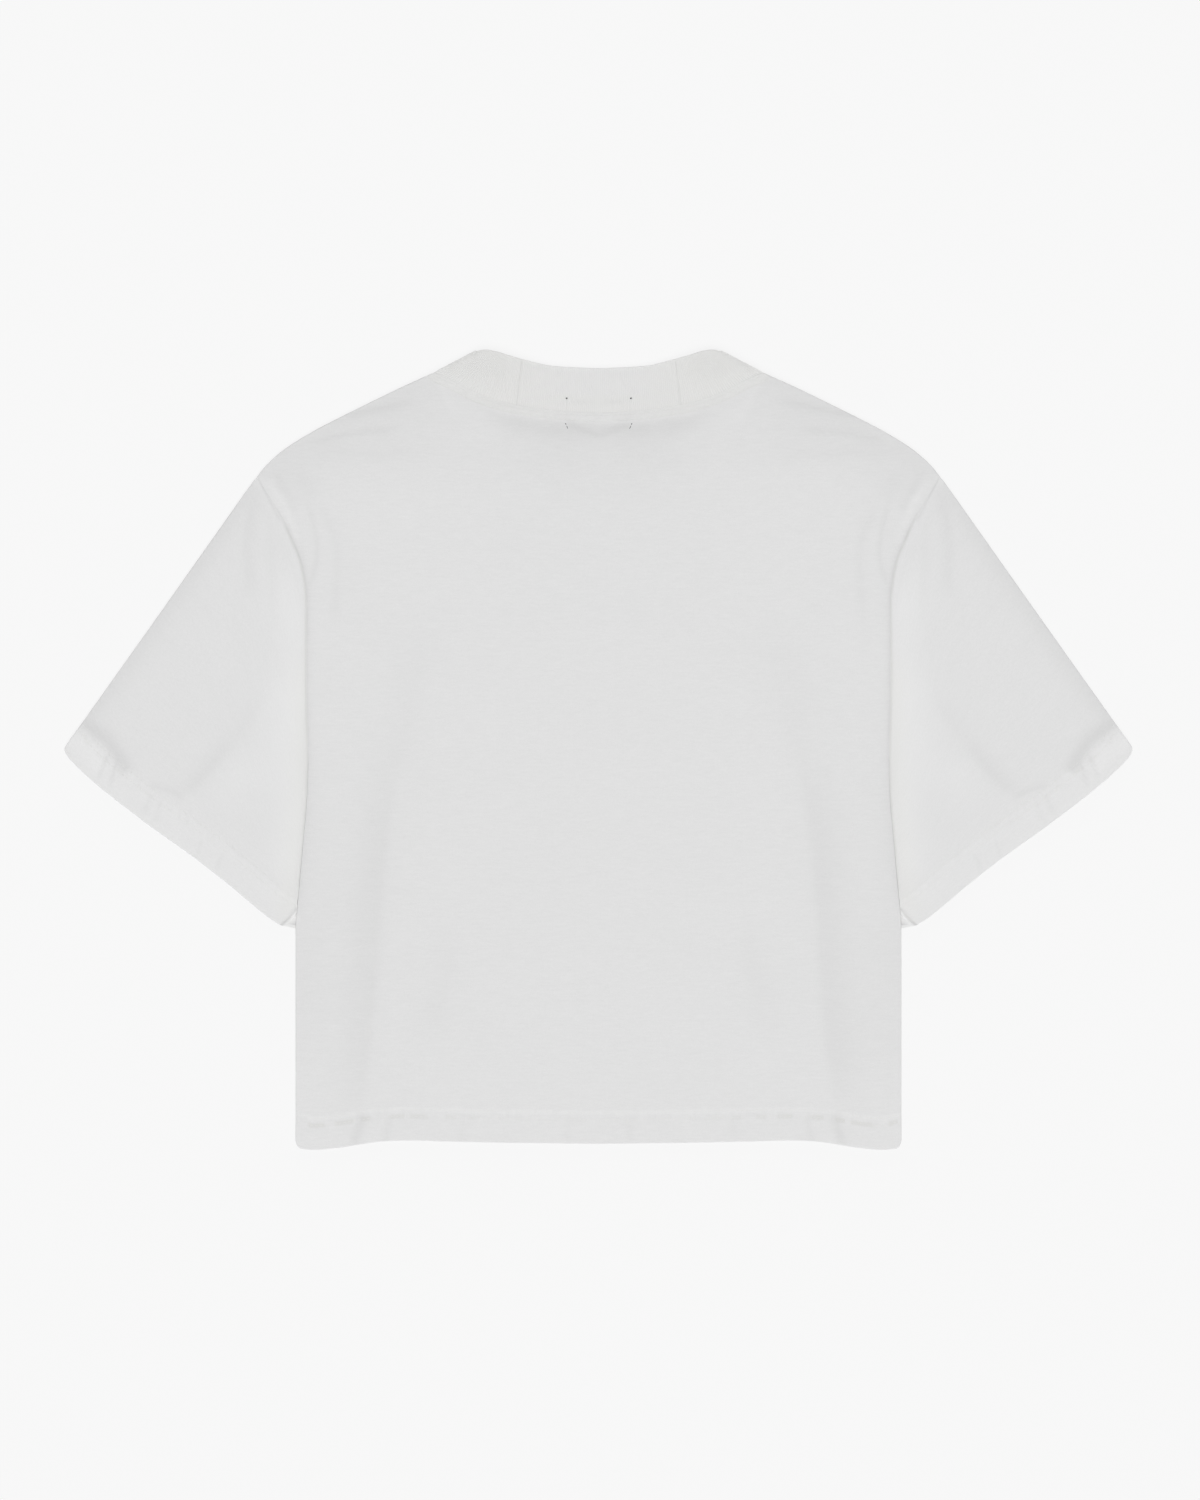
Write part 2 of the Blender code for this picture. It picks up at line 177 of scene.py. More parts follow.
# The neckband's sections, each a line from its free edge to its seam
Section = namedtuple("Section", "edge_x edge_y seam_x seam_y")
BACK_BAND = (
    Section(0.0000, 0.2477, 0.0000, 0.2184),
    Section(0.0153, 0.2483, 0.0205, 0.2194),
    Section(0.0328, 0.2496, 0.0348, 0.2208),
    Section(0.0497, 0.2535, 0.0532, 0.2236),
    Section(0.0588, 0.2561, 0.0635, 0.2258),
    Section(0.0673, 0.2587, 0.0800, 0.2315),
    Section(0.0740, 0.2596, 0.0935, 0.2385),
)
TURN = Section(0.0797, 0.2594, 0.1066, 0.2452)
FRONT_BAND = (
    Section(0.0755, 0.2480, 0.1045, 0.2370),
    Section(0.0705, 0.2280, 0.0993, 0.2190),
    Section(0.0600, 0.2070, 0.0850, 0.1905),
    Section(0.0430, 0.1910, 0.0590, 0.1660),
    Section(0.0220, 0.1815, 0.0295, 0.1525),
    Section(0.0000, 0.1780, 0.0000, 0.1480),
)

# How far the single layer at the neck sinks, inside the front neckline
HOLLOW_DEPTH = 0.0028
HOLLOW_HALF_WIDTH = 0.078
HOLLOW_FLAT = 0.25
HOLLOW_REACH = 0.021

# Painted shade and tints: how much darker the hollow under the neckband is painted, a share of that under
# the strip, and how much lighter the hems are
HOLLOW_PAINTED_SHADE = 0.055
UNDER_STRIP = 0.25
HEM_TINT = 0.003
CUFF_TINT = 0.024

# The warmer colour, and how much of it shows: in the strip, with more towards its ends, and in the
# neckband, with more from a start on either side of the middle, and at least this much in its tape
WARM = (1.0, 1.0, 0.988)
STRIP_WARMTH = 0.3
STRIP_END_WARMTH = 0.6
STRIP_WARM_REACH = 0.060
BAND_WARMTH = 0.8
BAND_WARM_START = 0.015
BAND_WARM_REACH = 0.045
TAPE_WARMTH = 0.6

# Folds of the upper layer: the widths of the flanks on the left and right of the path, the height (negative
# for a trough), the painted light (painted shade where negative, a painted highlight where positive; in
# WARM_PLACES the share of the warmer colour instead), and the share of the path over which each end fades.
# A flank fades out over its width, and is left out past this many widths.
FLANK_WIDTHS = 2.5
Fold = namedtuple("Fold", "left right height tint fade path")
# LABEL_EDGE and ARMHOLE_TOP are painted shade: thin dark lines along the label's edge and the top of the
# armhole's seam.
LABEL_EDGE = Fold(0.0004, 0.0004, 0.0, -0.030, 0.20, ((0.0206, 0.2294), (0.0206, 0.2106)))
ARMHOLE_TOP = Fold(0.0008, 0.0008, 0.0, -0.055, 0.06, (
    (0.2223, 0.1781), (0.2200, 0.1735), (0.2174, 0.1683), (0.2148, 0.1631), (0.2132, 0.1602),
    (0.2116, 0.1573), (0.2103, 0.1547), (0.2083, 0.1508), (0.2060, 0.1475)))
BODY_SEAM = ARMHOLE[2:] + SIDE[1:5]
SLEEVE_SEAM = ARMHOLE[2:] + SLEEVE_UNDERARM[1:]
# On the back panel the folds' tints are painted shade in their troughs, along the seams, the shoulder's edge
# and the neckline, and painted highlights (the positive ones) on the ridge beside the armhole and near the
# neckband's end at the shoulder.
BODY_FOLDS = (
    Fold(0.0150, 0.0042, -0.0006, -0.034, 0.22, (
        (0.1277, 0.0136), (0.1303, 0.0006), (0.1368, -0.0331), (0.1407, -0.0591), (0.1440, -0.0982),
        (0.1466, -0.1397), (0.1511, -0.1891), (0.1544, -0.2151), (0.1602, -0.2457), (0.1628, -0.2587))),
    Fold(0.0220, 0.0140, -0.0002, -0.012, 0.30, (
        (0.1394, 0.0058), (0.1433, -0.0461), (0.1511, -0.1176), (0.1576, -0.1826), (0.1615, -0.2346))),
    Fold(0.0170, 0.0110, -0.0006, -0.016, 0.35, (
        (0.1095, 0.0968), (0.1115, 0.0813), (0.1219, 0.0461), (0.1271, 0.0208), (0.1336, -0.0072),
        (0.1394, -0.0292))),
    Fold(0.0120, 0.0060, -0.0005, -0.018, 0.35, (
        (0.0952, -0.1014), (0.0965, -0.1300), (0.1004, -0.1502), (0.1043, -0.1651), (0.1089, -0.1950))),
    Fold(0.0080, 0.0140, 0.0005, -0.020, 0.25, (
        (0.1921, 0.0318), (0.1921, -0.0591), (0.1927, -0.1306), (0.1940, -0.2281))),
    Fold(0.0020, 0.0022, 0.0002, 0.030, 0.20, (
        (0.2174, 0.1800), (0.2096, 0.1671), (0.2025, 0.1540), (0.1979, 0.1424), (0.1934, 0.1274))),
    Fold(0.0018, 0.0030, -0.0001, -0.028, 0.25, (
        (0.2122, 0.1833), (0.2103, 0.1800), (0.2051, 0.1703), (0.1999, 0.1599), (0.1953, 0.1488))),
    Fold(0.0050, 0.0050, -0.0001, -0.020, 0.30, ((0.1966, 0.1826), (0.1901, 0.1722), (0.1823, 0.1618))),
    Fold(0.0014, 0.0022, -0.0002, -0.040, 0.30, (
        (0.1921, 0.1696), (0.1895, 0.1618), (0.1862, 0.1502), (0.1836, 0.1378), (0.1830, 0.1274),
        (0.1849, 0.1150), (0.1888, 0.1046), (0.1908, 0.0968))),
    Fold(0.0030, 0.0034, -0.0002, -0.024, 0.30, (
        (0.1856, 0.1709), (0.1765, 0.1488), (0.1719, 0.1391), (0.1693, 0.1235), (0.1706, 0.1033),
        (0.1719, 0.0708))),
    Fold(0.0022, 0.0024, -0.0003, -0.045, 0.25, (
        (0.1745, 0.2132), (0.1648, 0.2171), (0.1453, 0.2210), (0.1271, 0.2249), (0.1128, 0.2275))),
    Fold(0.0016, 0.0026, -0.0003, -0.042, 0.25, (
        (0.1901, 0.1969), (0.1843, 0.2002), (0.1745, 0.2021), (0.1635, 0.2041), (0.1511, 0.2060),
        (0.1394, 0.2067), (0.1264, 0.2080))),
    Fold(0.0040, 0.0060, -0.0002, -0.016, 0.30, (
        (0.2005, 0.1911), (0.1745, 0.1930), (0.1420, 0.1911), (0.1030, 0.1930))),
    Fold(0.0030, 0.0034, -0.0003, -0.060, 0.25, (
        (0.1518, -0.2334), (0.1544, -0.2424), (0.1570, -0.2502), (0.1602, -0.2600))),
    Fold(0.0020, 0.0028, -0.0002, -0.032, 0.25, (
        (0.1362, -0.2359), (0.1368, -0.2437), (0.1381, -0.2515), (0.1394, -0.2581))),
    Fold(0.0030, 0.0030, -0.0002, -0.020, 0.25, (
        (0.0861, -0.2359), (0.0881, -0.2457), (0.0894, -0.2555))),
    Fold(0.0030, 0.0030, -0.0002, -0.022, 0.25, (
        (0.0172, -0.2372), (0.0198, -0.2463), (0.0211, -0.2561))),
    Fold(0.0012, 0.0042, -0.0004, -0.055, 0.06, (
        (0.0211, 0.2119), (0.0120, 0.2077), (0.0029, 0.2044), (0.0000, 0.2041), (-0.0010, 0.2041))),
    Fold(0.0070, 0.0020, -0.0002, -0.035, 0.35, (
        (0.0835, 0.2242), (0.0770, 0.2210), (0.0608, 0.2145), (0.0445, 0.2112), (0.0250, 0.2087),
        (0.0000, 0.2073), (-0.0010, 0.2073))),
    Fold(0.0030, 0.0030, 0.0, 0.014, 0.20, ((0.1004, 0.2405), (0.0887, 0.2340), (0.0757, 0.2275))),
    Fold(0.0005, 0.0005, 0.0, -0.035, 0.35, (
        (0.1069, 0.2470), (0.1050, 0.2457), (0.0965, 0.2405), (0.0874, 0.2353))),
    LABEL_EDGE,
    Fold(0.0010, 0.0042, 0.0, -0.030, 0.04, BODY_SEAM),
    Fold(0.0012, 0.0012, 0.0, -0.030, 0.04, BODY_SEAM),
    Fold(0.0014, 0.0016, 0.0, -0.035, 0.10, ARMHOLE[1:]),
    ARMHOLE_TOP,
    Fold(0.0060, 0.0060, 0.0, -0.022, 0.20, (
        (0.1043, 0.2385), (0.0835, 0.2256), (0.0608, 0.2151), (0.0380, 0.2073))),
    Fold(0.0220, 0.0360, 0.0, -0.014, 0.30, (
        (0.1745, 0.2034), (0.0965, 0.1969), (0.0000, 0.1904), (-0.0010, 0.1904))),
    Fold(0.0300, 0.0300, 0.0, -0.034, 0.02, SHOULDER),
)
# On the sleeves the folds' tints are painted shade in troughs and creases, along the seams and the outer
# fold, and a painted shadow in the notch at the cuff's inner corner; the positive ones are painted
# highlights on the strip beside the underarm seam, over the lower sleeve, near the cuff's outer end and on
# the lower layer's sliver at the cuff's inner corner.
SLEEVE_FOLDS = (
    Fold(0.0030, 0.0050, -0.0004, -0.036, 0.25, (
        (0.2200, 0.1735), (0.2226, 0.1657), (0.2252, 0.1566), (0.2272, 0.1462), (0.2285, 0.1358),
        (0.2281, 0.1241), (0.2272, 0.1098), (0.2259, 0.0943))),
    Fold(0.0030, 0.0030, -0.0002, -0.014, 0.25, (
        (0.2148, 0.1651), (0.2129, 0.1358), (0.2122, 0.1098), (0.2116, 0.0708))),
    Fold(0.0150, 0.0085, 0.0006, 0.058, 0.20, (
        (0.2044, 0.1358), (0.1999, 0.1098), (0.1966, 0.0838), (0.1953, 0.0578), (0.1947, 0.0318),
        (0.1953, -0.0072), (0.1979, -0.0461), (0.2018, -0.0786), (0.2070, -0.1014), (0.2096, -0.1111))),
    Fold(0.0200, 0.0160, 0.0006, 0.030, 0.25, (
        (0.2558, -0.0429), (0.2382, -0.0215), (0.2148, 0.0000), (0.2083, 0.0299), (0.2044, 0.0643))),
    Fold(0.0080, 0.0130, -0.0006, 0.000, 0.25, (
        (0.2759, -0.0292), (0.2597, -0.0182), (0.2512, -0.0091), (0.2376, 0.0046), (0.2285, 0.0156),
        (0.2174, 0.0273))),
    Fold(0.0050, 0.0090, 0.0, -0.020, 0.25, (
        (0.2772, -0.0318), (0.2675, -0.0267), (0.2597, -0.0201), (0.2499, -0.0097), (0.2402, 0.0026),
        (0.2311, 0.0149), (0.2213, 0.0286), (0.2122, 0.0435))),
    Fold(0.0030, 0.0060, 0.0, -0.022, 0.25, (
        (0.2779, -0.0312), (0.2714, -0.0286), (0.2636, -0.0240), (0.2558, -0.0163), (0.2473, -0.0058),
        (0.2382, 0.0072))),
    Fold(0.0012, 0.0028, -0.0001, -0.040, 0.25, (
        (0.2941, -0.0208), (0.2889, -0.0247), (0.2811, -0.0267), (0.2733, -0.0305), (0.2681, -0.0338))),
    Fold(0.0032, 0.0060, -0.0006, -0.090, 0.08, (
        (0.3396, 0.0208), (0.3344, 0.0163), (0.3286, 0.0123), (0.3221, 0.0078), (0.3162, 0.0013),
        (0.3123, -0.0052), (0.3091, -0.0117), (0.3078, -0.0169))),
    Fold(0.0060, 0.0050, 0.0003, 0.036, 0.20, (
        (0.3474, 0.0110), (0.3396, 0.0052), (0.3299, -0.0019), (0.3240, -0.0104), (0.3214, -0.0175))),
    Fold(0.0011, 0.0017, -0.0002, -0.060, 0.25, (
        (0.3175, -0.0019), (0.3195, -0.0058), (0.3227, -0.0123), (0.3253, -0.0201))),
    Fold(0.0011, 0.0017, -0.0002, -0.060, 0.25, (
        (0.3117, -0.0052), (0.3136, -0.0097), (0.3162, -0.0182), (0.3188, -0.0260))),
    Fold(0.0016, 0.0022, -0.0002, -0.036, 0.25, (
        (0.2889, -0.0273), (0.2922, -0.0331), (0.2948, -0.0390), (0.2980, -0.0442))),
    Fold(0.0014, 0.0018, -0.0002, -0.030, 0.25, (
        (0.2824, -0.0305), (0.2850, -0.0357), (0.2876, -0.0435), (0.2902, -0.0500))),
    Fold(0.0012, 0.0014, -0.0002, -0.030, 0.25, (
        (0.2577, -0.0578), (0.2597, -0.0643), (0.2616, -0.0721))),
    Fold(0.0012, 0.0016, -0.0002, -0.034, 0.25, (
        (0.2434, -0.0657), (0.2460, -0.0708), (0.2493, -0.0799))),
    Fold(0.0009, 0.0009, 0.0, -0.180, 0.10, (
        (0.2083, -0.1157), (0.2064, -0.1144), (0.2018, -0.1105), (0.1979, -0.1059), (0.1953, -0.1027))),
    Fold(0.0013, 0.0013, 0.0, -0.450, 0.10, ((0.1989, -0.1121), (0.1979, -0.1150))),
    Fold(0.0014, 0.0014, 0.0, 0.100, 0.10, (
        (0.2051, -0.1163), (0.2025, -0.1137), (0.1992, -0.1098), (0.1960, -0.1053))),
    ARMHOLE_TOP,
    Fold(0.0012, 0.0014, 0.0, -0.040, 0.04, SLEEVE_SEAM),
    Fold(0.0014, 0.0014, 0.0, -0.035, 0.10, ARMHOLE[1:]),
    Fold(0.0080, 0.0080, 0.0, -0.042, 0.04, SLEEVE_FOLD),
)

# Painted shade and painted highlights on the neckband, and where the cloth is a little warmer in colour
BAND_FOLDS = (
    Fold(0.0005, 0.0005, 0.0, -0.036, 0.05, ((0.0497, 0.2541), (0.0515, 0.2389), (0.0532, 0.2236))),
    Fold(0.0010, 0.0010, 0.0, -0.036, 0.10, (
        (0.0211, 0.2281), (0.0120, 0.2256), (0.0036, 0.2242), (0.0000, 0.2242), (-0.0010, 0.2242))),
    LABEL_EDGE,
    Fold(0.0024, 0.0024, 0.0, -0.045, 0.30, ((0.1004, 0.2470), (0.0952, 0.2502), (0.0887, 0.2541))),
    Fold(0.0100, 0.0080, 0.0, -0.024, 0.30, (
        (0.0900, 0.2450), (0.0796, 0.2489), (0.0640, 0.2476), (0.0543, 0.2398))),
    Fold(0.0010, 0.0010, 0.0, 0.040, 0.10, (
        (0.0640, 0.2574), (0.0510, 0.2538), (0.0348, 0.2499), (0.0153, 0.2480), (0.0000, 0.2476),
        (-0.0010, 0.2476))),
)
WARM_PLACES = (
    Fold(0.0014, 0.0014, 0.0, 0.900, 0.05, SLEEVE_SEAM),
    Fold(0.0090, 0.0060, 0.0, 0.900, 0.15, (
        (0.1921, 0.0708), (0.1914, 0.0318), (0.1921, -0.0072), (0.1947, -0.0461), (0.1979, -0.0786),
        (0.2005, -0.0982), (0.2031, -0.1144), (0.2057, -0.1274))),
)

# The label's tacks: both ends of each, and its thickness
Tack = namedtuple("Tack", "start end thick")
LABEL_TACKS = (
    Tack(Point(-0.0207, 0.2286), Point(-0.0207, 0.2275), 0.0012),
    Tack(Point(0.0211, 0.2286), Point(0.0211, 0.2275), 0.0012),
    Tack(Point(-0.0216, 0.2119), Point(-0.0210, 0.2109), 0.0006),
    Tack(Point(0.0219, 0.2119), Point(0.0213, 0.2109), 0.0006),
    Tack(Point(-0.0210, 0.2106), Point(-0.0197, 0.2079), 0.0004),
    Tack(Point(0.0213, 0.2106), Point(0.0200, 0.2079), 0.0004),
)

# Camera and light
CAMERA_X = 0.000975
CAMERA_Y = -0.00065
CAMERA_HEIGHT = 2.712
LENS = 100.0
SENSOR = 36.0
FLOOR_LEVEL = -0.0003
WORLD_LIGHT = 0.46
KEY_LIGHT = 1.66
FILL_LIGHT = 0.62
FLOOR_SIZE = 40.0


# Curves, distances and heights over arrays of plan points

def curve_through(points, steps=12):
    """A smooth curve through the points, as rows of x and y."""
    knots = np.array(points, float)
    knots = np.vstack([2 * knots[0] - knots[1], knots, 2 * knots[-1] - knots[-2]])
    t = np.linspace(0.0, 1.0, steps, endpoint=False)[:, None]
    parts = [0.5 * (2 * b + (c - a) * t + (2 * a - 5 * b + 4 * c - d) * t ** 2
                    + (3 * b - a - 3 * c + d) * t ** 3)
             for a, b, c, d in zip(knots, knots[1:], knots[2:], knots[3:])]
    return np.vstack([*parts, knots[-2:-1]])


def lengths_along(curve):
    steps = np.linalg.norm(np.diff(curve, axis=0), axis=1)
    return np.concatenate([[0.0], np.cumsum(steps)])


def length_of(curve):
    return float(lengths_along(curve)[-1])


def at_shares(curve, shares):
    """The curve's points at these shares of its length."""
    lengths = lengths_along(curve)
    wanted = np.asarray(shares) * lengths[-1]
    return np.stack([np.interp(wanted, lengths, axis) for axis in curve.T], axis=-1)


def joined(*curves):
    return np.vstack([curves[0], *[curve[1:] for curve in curves[1:]]])


def offset(curve, distance):
    """The curve moved to its right by this distance."""
    runs = np.gradient(curve, axis=0)
    sideways = np.stack([runs[:, 1], -runs[:, 0]], axis=1) / np.linalg.norm(runs, axis=1)[:, None]
    return curve + sideways * distance


def nearest(points, path):
    """Each point's distance from a path, its side (left is positive) and the share of the path there."""
    path = np.asarray(path, float)
    lengths = lengths_along(path)
    best = np.full(points.shape[:-1], np.inf)
    side, share = np.zeros_like(best), np.zeros_like(best)
    for a, b, passed, reached in zip(path, path[1:], lengths, lengths[1:]):
        run, away = b - a, points - a
        along = np.clip(away @ run / (run @ run), 0.0, 1.0)
        distance = np.linalg.norm(away - along[..., None] * run, axis=-1)
        closer = distance < best
        best = np.where(closer, distance, best)
        side = np.where(closer, run[0] * away[..., 1] - run[1] * away[..., 0], side)
        share = np.where(closer, (passed + along * (reached - passed)) / lengths[-1], share)
    return best, side, share


def distance_to(points, path):
    return nearest(points, path)[0]


def smooth_step(value):
    value = np.clip(value, 0.0, 1.0)
    return value * value * (3.0 - 2.0 * value)


def hump(distance, width):
    return np.exp(-(distance / width) ** 2)


def fold_sum(points, folds, quantity):
    """The folds' heights, or their painted light or warmth, added together."""
    total = np.zeros(points.shape[:-1])
    for fold in folds:
        amount = getattr(fold, quantity)
        path = curve_through(fold.path, 4)
        reach = FLANK_WIDTHS * max(fold.left, fold.right)
        near = np.all((points > path.min(axis=0) - reach) & (points < path.max(axis=0) + reach), axis=-1)
        if amount and near.any():
            distance, side, share = nearest(points[near], path)
            ends = smooth_step(share / fold.fade) * smooth_step((1.0 - share) / fold.fade)
            total[near] += amount * ends * hump(distance, np.where(side > 0, fold.left, fold.right))
    return total


def fold_section(section):
    """The section's ends moved in from the outline by the fold's reach, and that reach as a vector."""
    edge = np.array([section.edge_x, section.edge_y])
    seam = np.array([section.seam_x, section.seam_y])
    run = (seam - edge) / np.linalg.norm(seam - edge)
    reach = np.array([-run[1], run[0]]) * TURN_REACH
    return edge - reach, seam - reach, reach


def neckline(sections):
    seams = [Point(section.seam_x, section.seam_y) for section in sections]
    return curve_through([*seams, fold_section(TURN)[1]])


SHOULDER_CURVE = curve_through(SHOULDER)
ARMHOLE_CURVE = curve_through(ARMHOLE)
SIDE_CURVE = joined(curve_through(SIDE), curve_through(HEM_END))
HEM_CURVE = curve_through(HEM)
CUFF_CURVE = curve_through(CUFF)
OUTER_FOLD = joined(curve_through(SLEEVE_FOLD), curve_through(CUFF_END_OUTER))
UNDERARM_LINE = joined(ARMHOLE_CURVE, curve_through(SIDE[:4]))
UNDERARM = joined(curve_through(SLEEVE_UNDERARM), curve_through(CUFF_END_INNER))
LOWER_UNDERARM = joined(curve_through(SLEEVE_UNDERARM), curve_through(LOWER_CUFF_END_INNER))
TURN_CORNER = fold_section(TURN)[1] + TURN_FULLNESS * fold_section(TURN)[2]
SHOULDER_EDGE = np.vstack([TURN_CORNER, SHOULDER_CURVE[1:]])
TURN_LINE = np.array([(TURN.edge_x, TURN.edge_y), (TURN.seam_x, TURN.seam_y)])
BACK_NECKLINE = neckline(BACK_BAND)
FRONT_NECKLINE = neckline(FRONT_BAND[::-1])

# How the layers thin towards each edge: over this reach, down to this least share of the crown
Thinning = namedtuple("Thinning", "path reach least")
THINNINGS = (
    Thinning(joined(TURN_LINE, SHOULDER_CURVE), 0.038, 0.0),
    Thinning(OUTER_FOLD, 0.024, 0.0),
    Thinning(HEM_CURVE, 0.080, 0.35),
    Thinning(CUFF_CURVE, 0.050, 0.35),
    Thinning(curve_through(SIDE[4:]), 0.022, 0.5),
)


def crown(points):
    """The extra height that air gives the layers away from their edges."""
    share = np.ones(points.shape[:-1])
    for edge in THINNINGS:
        near = np.clip(1.0 - distance_to(points, edge.path) / edge.reach, 0.0, 1.0)
        share = share * (1.0 - (1.0 - edge.least) * near ** 2)
    return CROWN * share


def below_seam(points):
    """Distance from the neckband's seam, which is 0 on the band."""
    distance, side, _ = nearest(points, BACK_NECKLINE)
    return np.where(side < 0, distance, 0.0)


def hollow(points, below):
    """How far into the hollow under the neckband, from 0 outside to 1 on the band and its strip."""
    across = (np.abs(points[..., 0]) / HOLLOW_HALF_WIDTH - HOLLOW_FLAT) / (1.0 - HOLLOW_FLAT)
    return (1.0 - smooth_step(across)) * np.exp(-np.maximum(below - STRIP_DEPTH, 0.0) / HOLLOW_REACH)


def neck_rise(points):
    """The extra height of the layers near the line where the neckband turns over the shoulder."""
    return (NECK_TOP - TOP) * smooth_step(1.0 - distance_to(points, TURN_LINE) / NECK_RISE_REACH)


def upper_height(points, below):
    """Height of the upper layer's outer face, before its edges round off."""
    return (TOP + crown(points) + neck_rise(points) - HOLLOW_DEPTH * hollow(points, below)
            + fold_sum(points, BODY_FOLDS + SLEEVE_FOLDS, "height"))


def on_hem(distance):
    """From 0 on the cloth to 1 on its hem, at this distance from the hem's edge."""
    return smooth_step((HEM_DEPTH - distance) / HEM_FADE)


def hem_rise(distance):
    """The turned-up hem's extra height at this distance from its edge."""
    return HEM_STEP * smooth_step((HEM_DEPTH + HEM_FADE - distance) / HEM_SLOPE)


def neck_strip(below):
    """Relief of the twin-stitched strip under the neckband."""
    strip = STRIP_RISE * smooth_step((STRIP_DEPTH + STRIP_MARGIN - below) / STRIP_SLOPE)
    return strip + STRIP_RIDGE * hump(below - STRIP_DEPTH, RIDGE_WIDTH)


def roundness(distance, radius):
    """From 0 on an edge to 1 past its rounding."""
    return np.sqrt(1.0 - np.clip(1.0 - distance / radius, 0.0, 1.0) ** 2)


# Grids in plan

def shares_of(length, step, start_insets, end_insets):
    """Shares of a length: even steps, with these closer ones at the ends."""
    first, last = start_insets[-1], length - end_insets[-1]
    count = max(round((last - first) / step), 1)
    middle = np.linspace(first, last, count + 1)[1:-1]
    return np.concatenate([start_insets, middle, length - np.array(end_insets)[::-1]]) / length


def patch(top, bottom, left, right, across, down):
    """A grid of plan points between four edges, at these shares across and down."""
    u, v = across[None, :, None], down[:, None, None]
    between = (1 - v) * at_shares(top, across)[None] + v * at_shares(bottom, across)[None]
    to_left = at_shares(left, down)[:, None] - between[:, :1]
    to_right = at_shares(right, down)[:, None] - between[:, -1:]
    return between + to_left * (1 - u) ** 3 + to_right * u ** 3


def mirrored(grid):
    """Both halves of a grid of points or values whose first column is the middle."""
    other = np.flip(grid[:, 1:], axis=1).copy()
    if grid.ndim == 3:
        other[..., 0] *= -1.0
    return np.concatenate([other, grid], axis=1)


def both_sides(line):
    """A line of the right half, and its mirror image joined to it at the middle."""
    return np.vstack([line[:0:-1] * (-1, 1, 1), line])


def at_height(line, height):
    """The plan line as points at these heights."""
    return np.column_stack([line, np.broadcast_to(height, len(line))])


def rows_turned_up(to_hem):
    """How many of a column's points are on the hem, at these distances from its edge."""
    return int(np.sum(to_hem < HEM_DEPTH + HEM_MARGIN))


def turned_up(outer, inner, rows):
    """The outer face's rows, then those of the hem's inner layer, back from its edge."""
    return np.concatenate([outer, inner[-2:-rows - 2:-1]], axis=0)


def drawn_in(plan, to_edges, inset):
    """The plan's points moved along their rows, in from each edge by this inset, fading out inwards."""
    along = np.gradient(plan, axis=1)
    along /= np.linalg.norm(along, axis=-1, keepdims=True)
    shift = sum(sign * (1.0 - smooth_step(to_edge / INSET_FADE)) for sign, to_edge in to_edges)
    return plan + along * (inset * shift)[..., None]


def contour(plan, distances, level):
    """The line through a grid of plan points at this distance."""
    points = []
    for column in range(plan.shape[1]):
        along = distances[::-1, column]
        if along[0] < level < along.max():
            points.append([np.interp(level, along, plan[::-1, column, axis]) for axis in (0, 1)])
    return np.array(points)


# Meshes

def added(name, data):
    """A new object with this data, in the scene."""
    thing = bpy.data.objects.new(name, data)
    bpy.context.scene.collection.objects.link(thing)
    return thing


def mesh_piece(name, points, faces):
    """A new object with a smooth mesh of these points and faces."""
    mesh = bpy.data.meshes.new(name)
    mesh.from_pydata(points.tolist(), [], faces)
    mesh.shade_smooth()
    return added(name, mesh)


def cloth_mesh(name, points, threads, looks, around=False, outward=True, capped=False):
    """A mesh on a grid of points, with its thread coordinates in metres and values for its finish."""
    rows, columns = points.shape[:2]
    wide = threads.shape[1]
    index = np.arange(rows * columns).reshape(rows, columns)
    unrolled = np.hstack([index, index[:, :1]]) if around else index
    flat = np.arange(rows * wide).reshape(rows, wide)

    def corners(numbers):
        loops = (numbers[:-1, :-1], numbers[1:, :-1], numbers[1:, 1:], numbers[:-1, 1:])
        return np.stack(loops if outward else loops[::-1], axis=-1).reshape(-1, 4)

    faces = corners(unrolled).tolist()
    loops = corners(flat).ravel()
    if capped:
        faces += [index[0].tolist(), index[-1, ::-1].tolist()]
        loops = np.concatenate([loops, flat[0, :-1], flat[-1, -2::-1]])
    piece = mesh_piece(name, points.reshape(-1, 3), faces)
    uv = piece.data.uv_layers.new(name="Threads")
    uv.uv.foreach_set("vector", threads.reshape(-1, 2)[loops].ravel())
    for look, values in looks.items():
        attribute = piece.data.attributes.new(look, "FLOAT", "POINT")
        attribute.data.foreach_set("value", np.broadcast_to(values, points.shape[:2]).ravel())
    return piece


def thicken(piece, wall):
    """Give the sheet its cloth's thickness, behind its outer face."""
    bpy.ops.object.select_all(action="DESELECT")
    piece.select_set(True)
    bpy.context.view_layer.objects.active = piece
    cloth = piece.modifiers.new("Cloth", "SOLIDIFY")
    cloth.thickness = wall
    cloth.offset = -1.0
    bpy.ops.object.modifier_apply(modifier=cloth.name)


def finished(piece, finish, node=None):
    piece.data.materials.append(finish)
    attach(piece, "root")
    if node:
        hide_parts(node)


# Body panels

def panel_grid(neck_curve, step):
    """Plan of half a body panel, as rows from the shoulder down to the hem."""
    neck = offset(neck_curve, -NECK_TUCK)
    neck[-1] = SHOULDER_EDGE[0]
    top = joined(neck, SHOULDER_EDGE)
    left = np.array([top[0], HEM_CURVE[0]])
    right = joined(ARMHOLE_CURVE, SIDE_CURVE)
    across = shares_of(length_of(top), step, (0.0,), EDGE_INSETS)
    corner = length_of(neck) / length_of(top)
    across[np.argmin(np.abs(across - corner))] = corner
    down = shares_of(length_of(left), step, NECK_INSETS, HEM_INSETS)
    plan = patch(top, HEM_CURVE, left, right, across, down)
    plan[:, 0, 0] = 0.0
    return plan


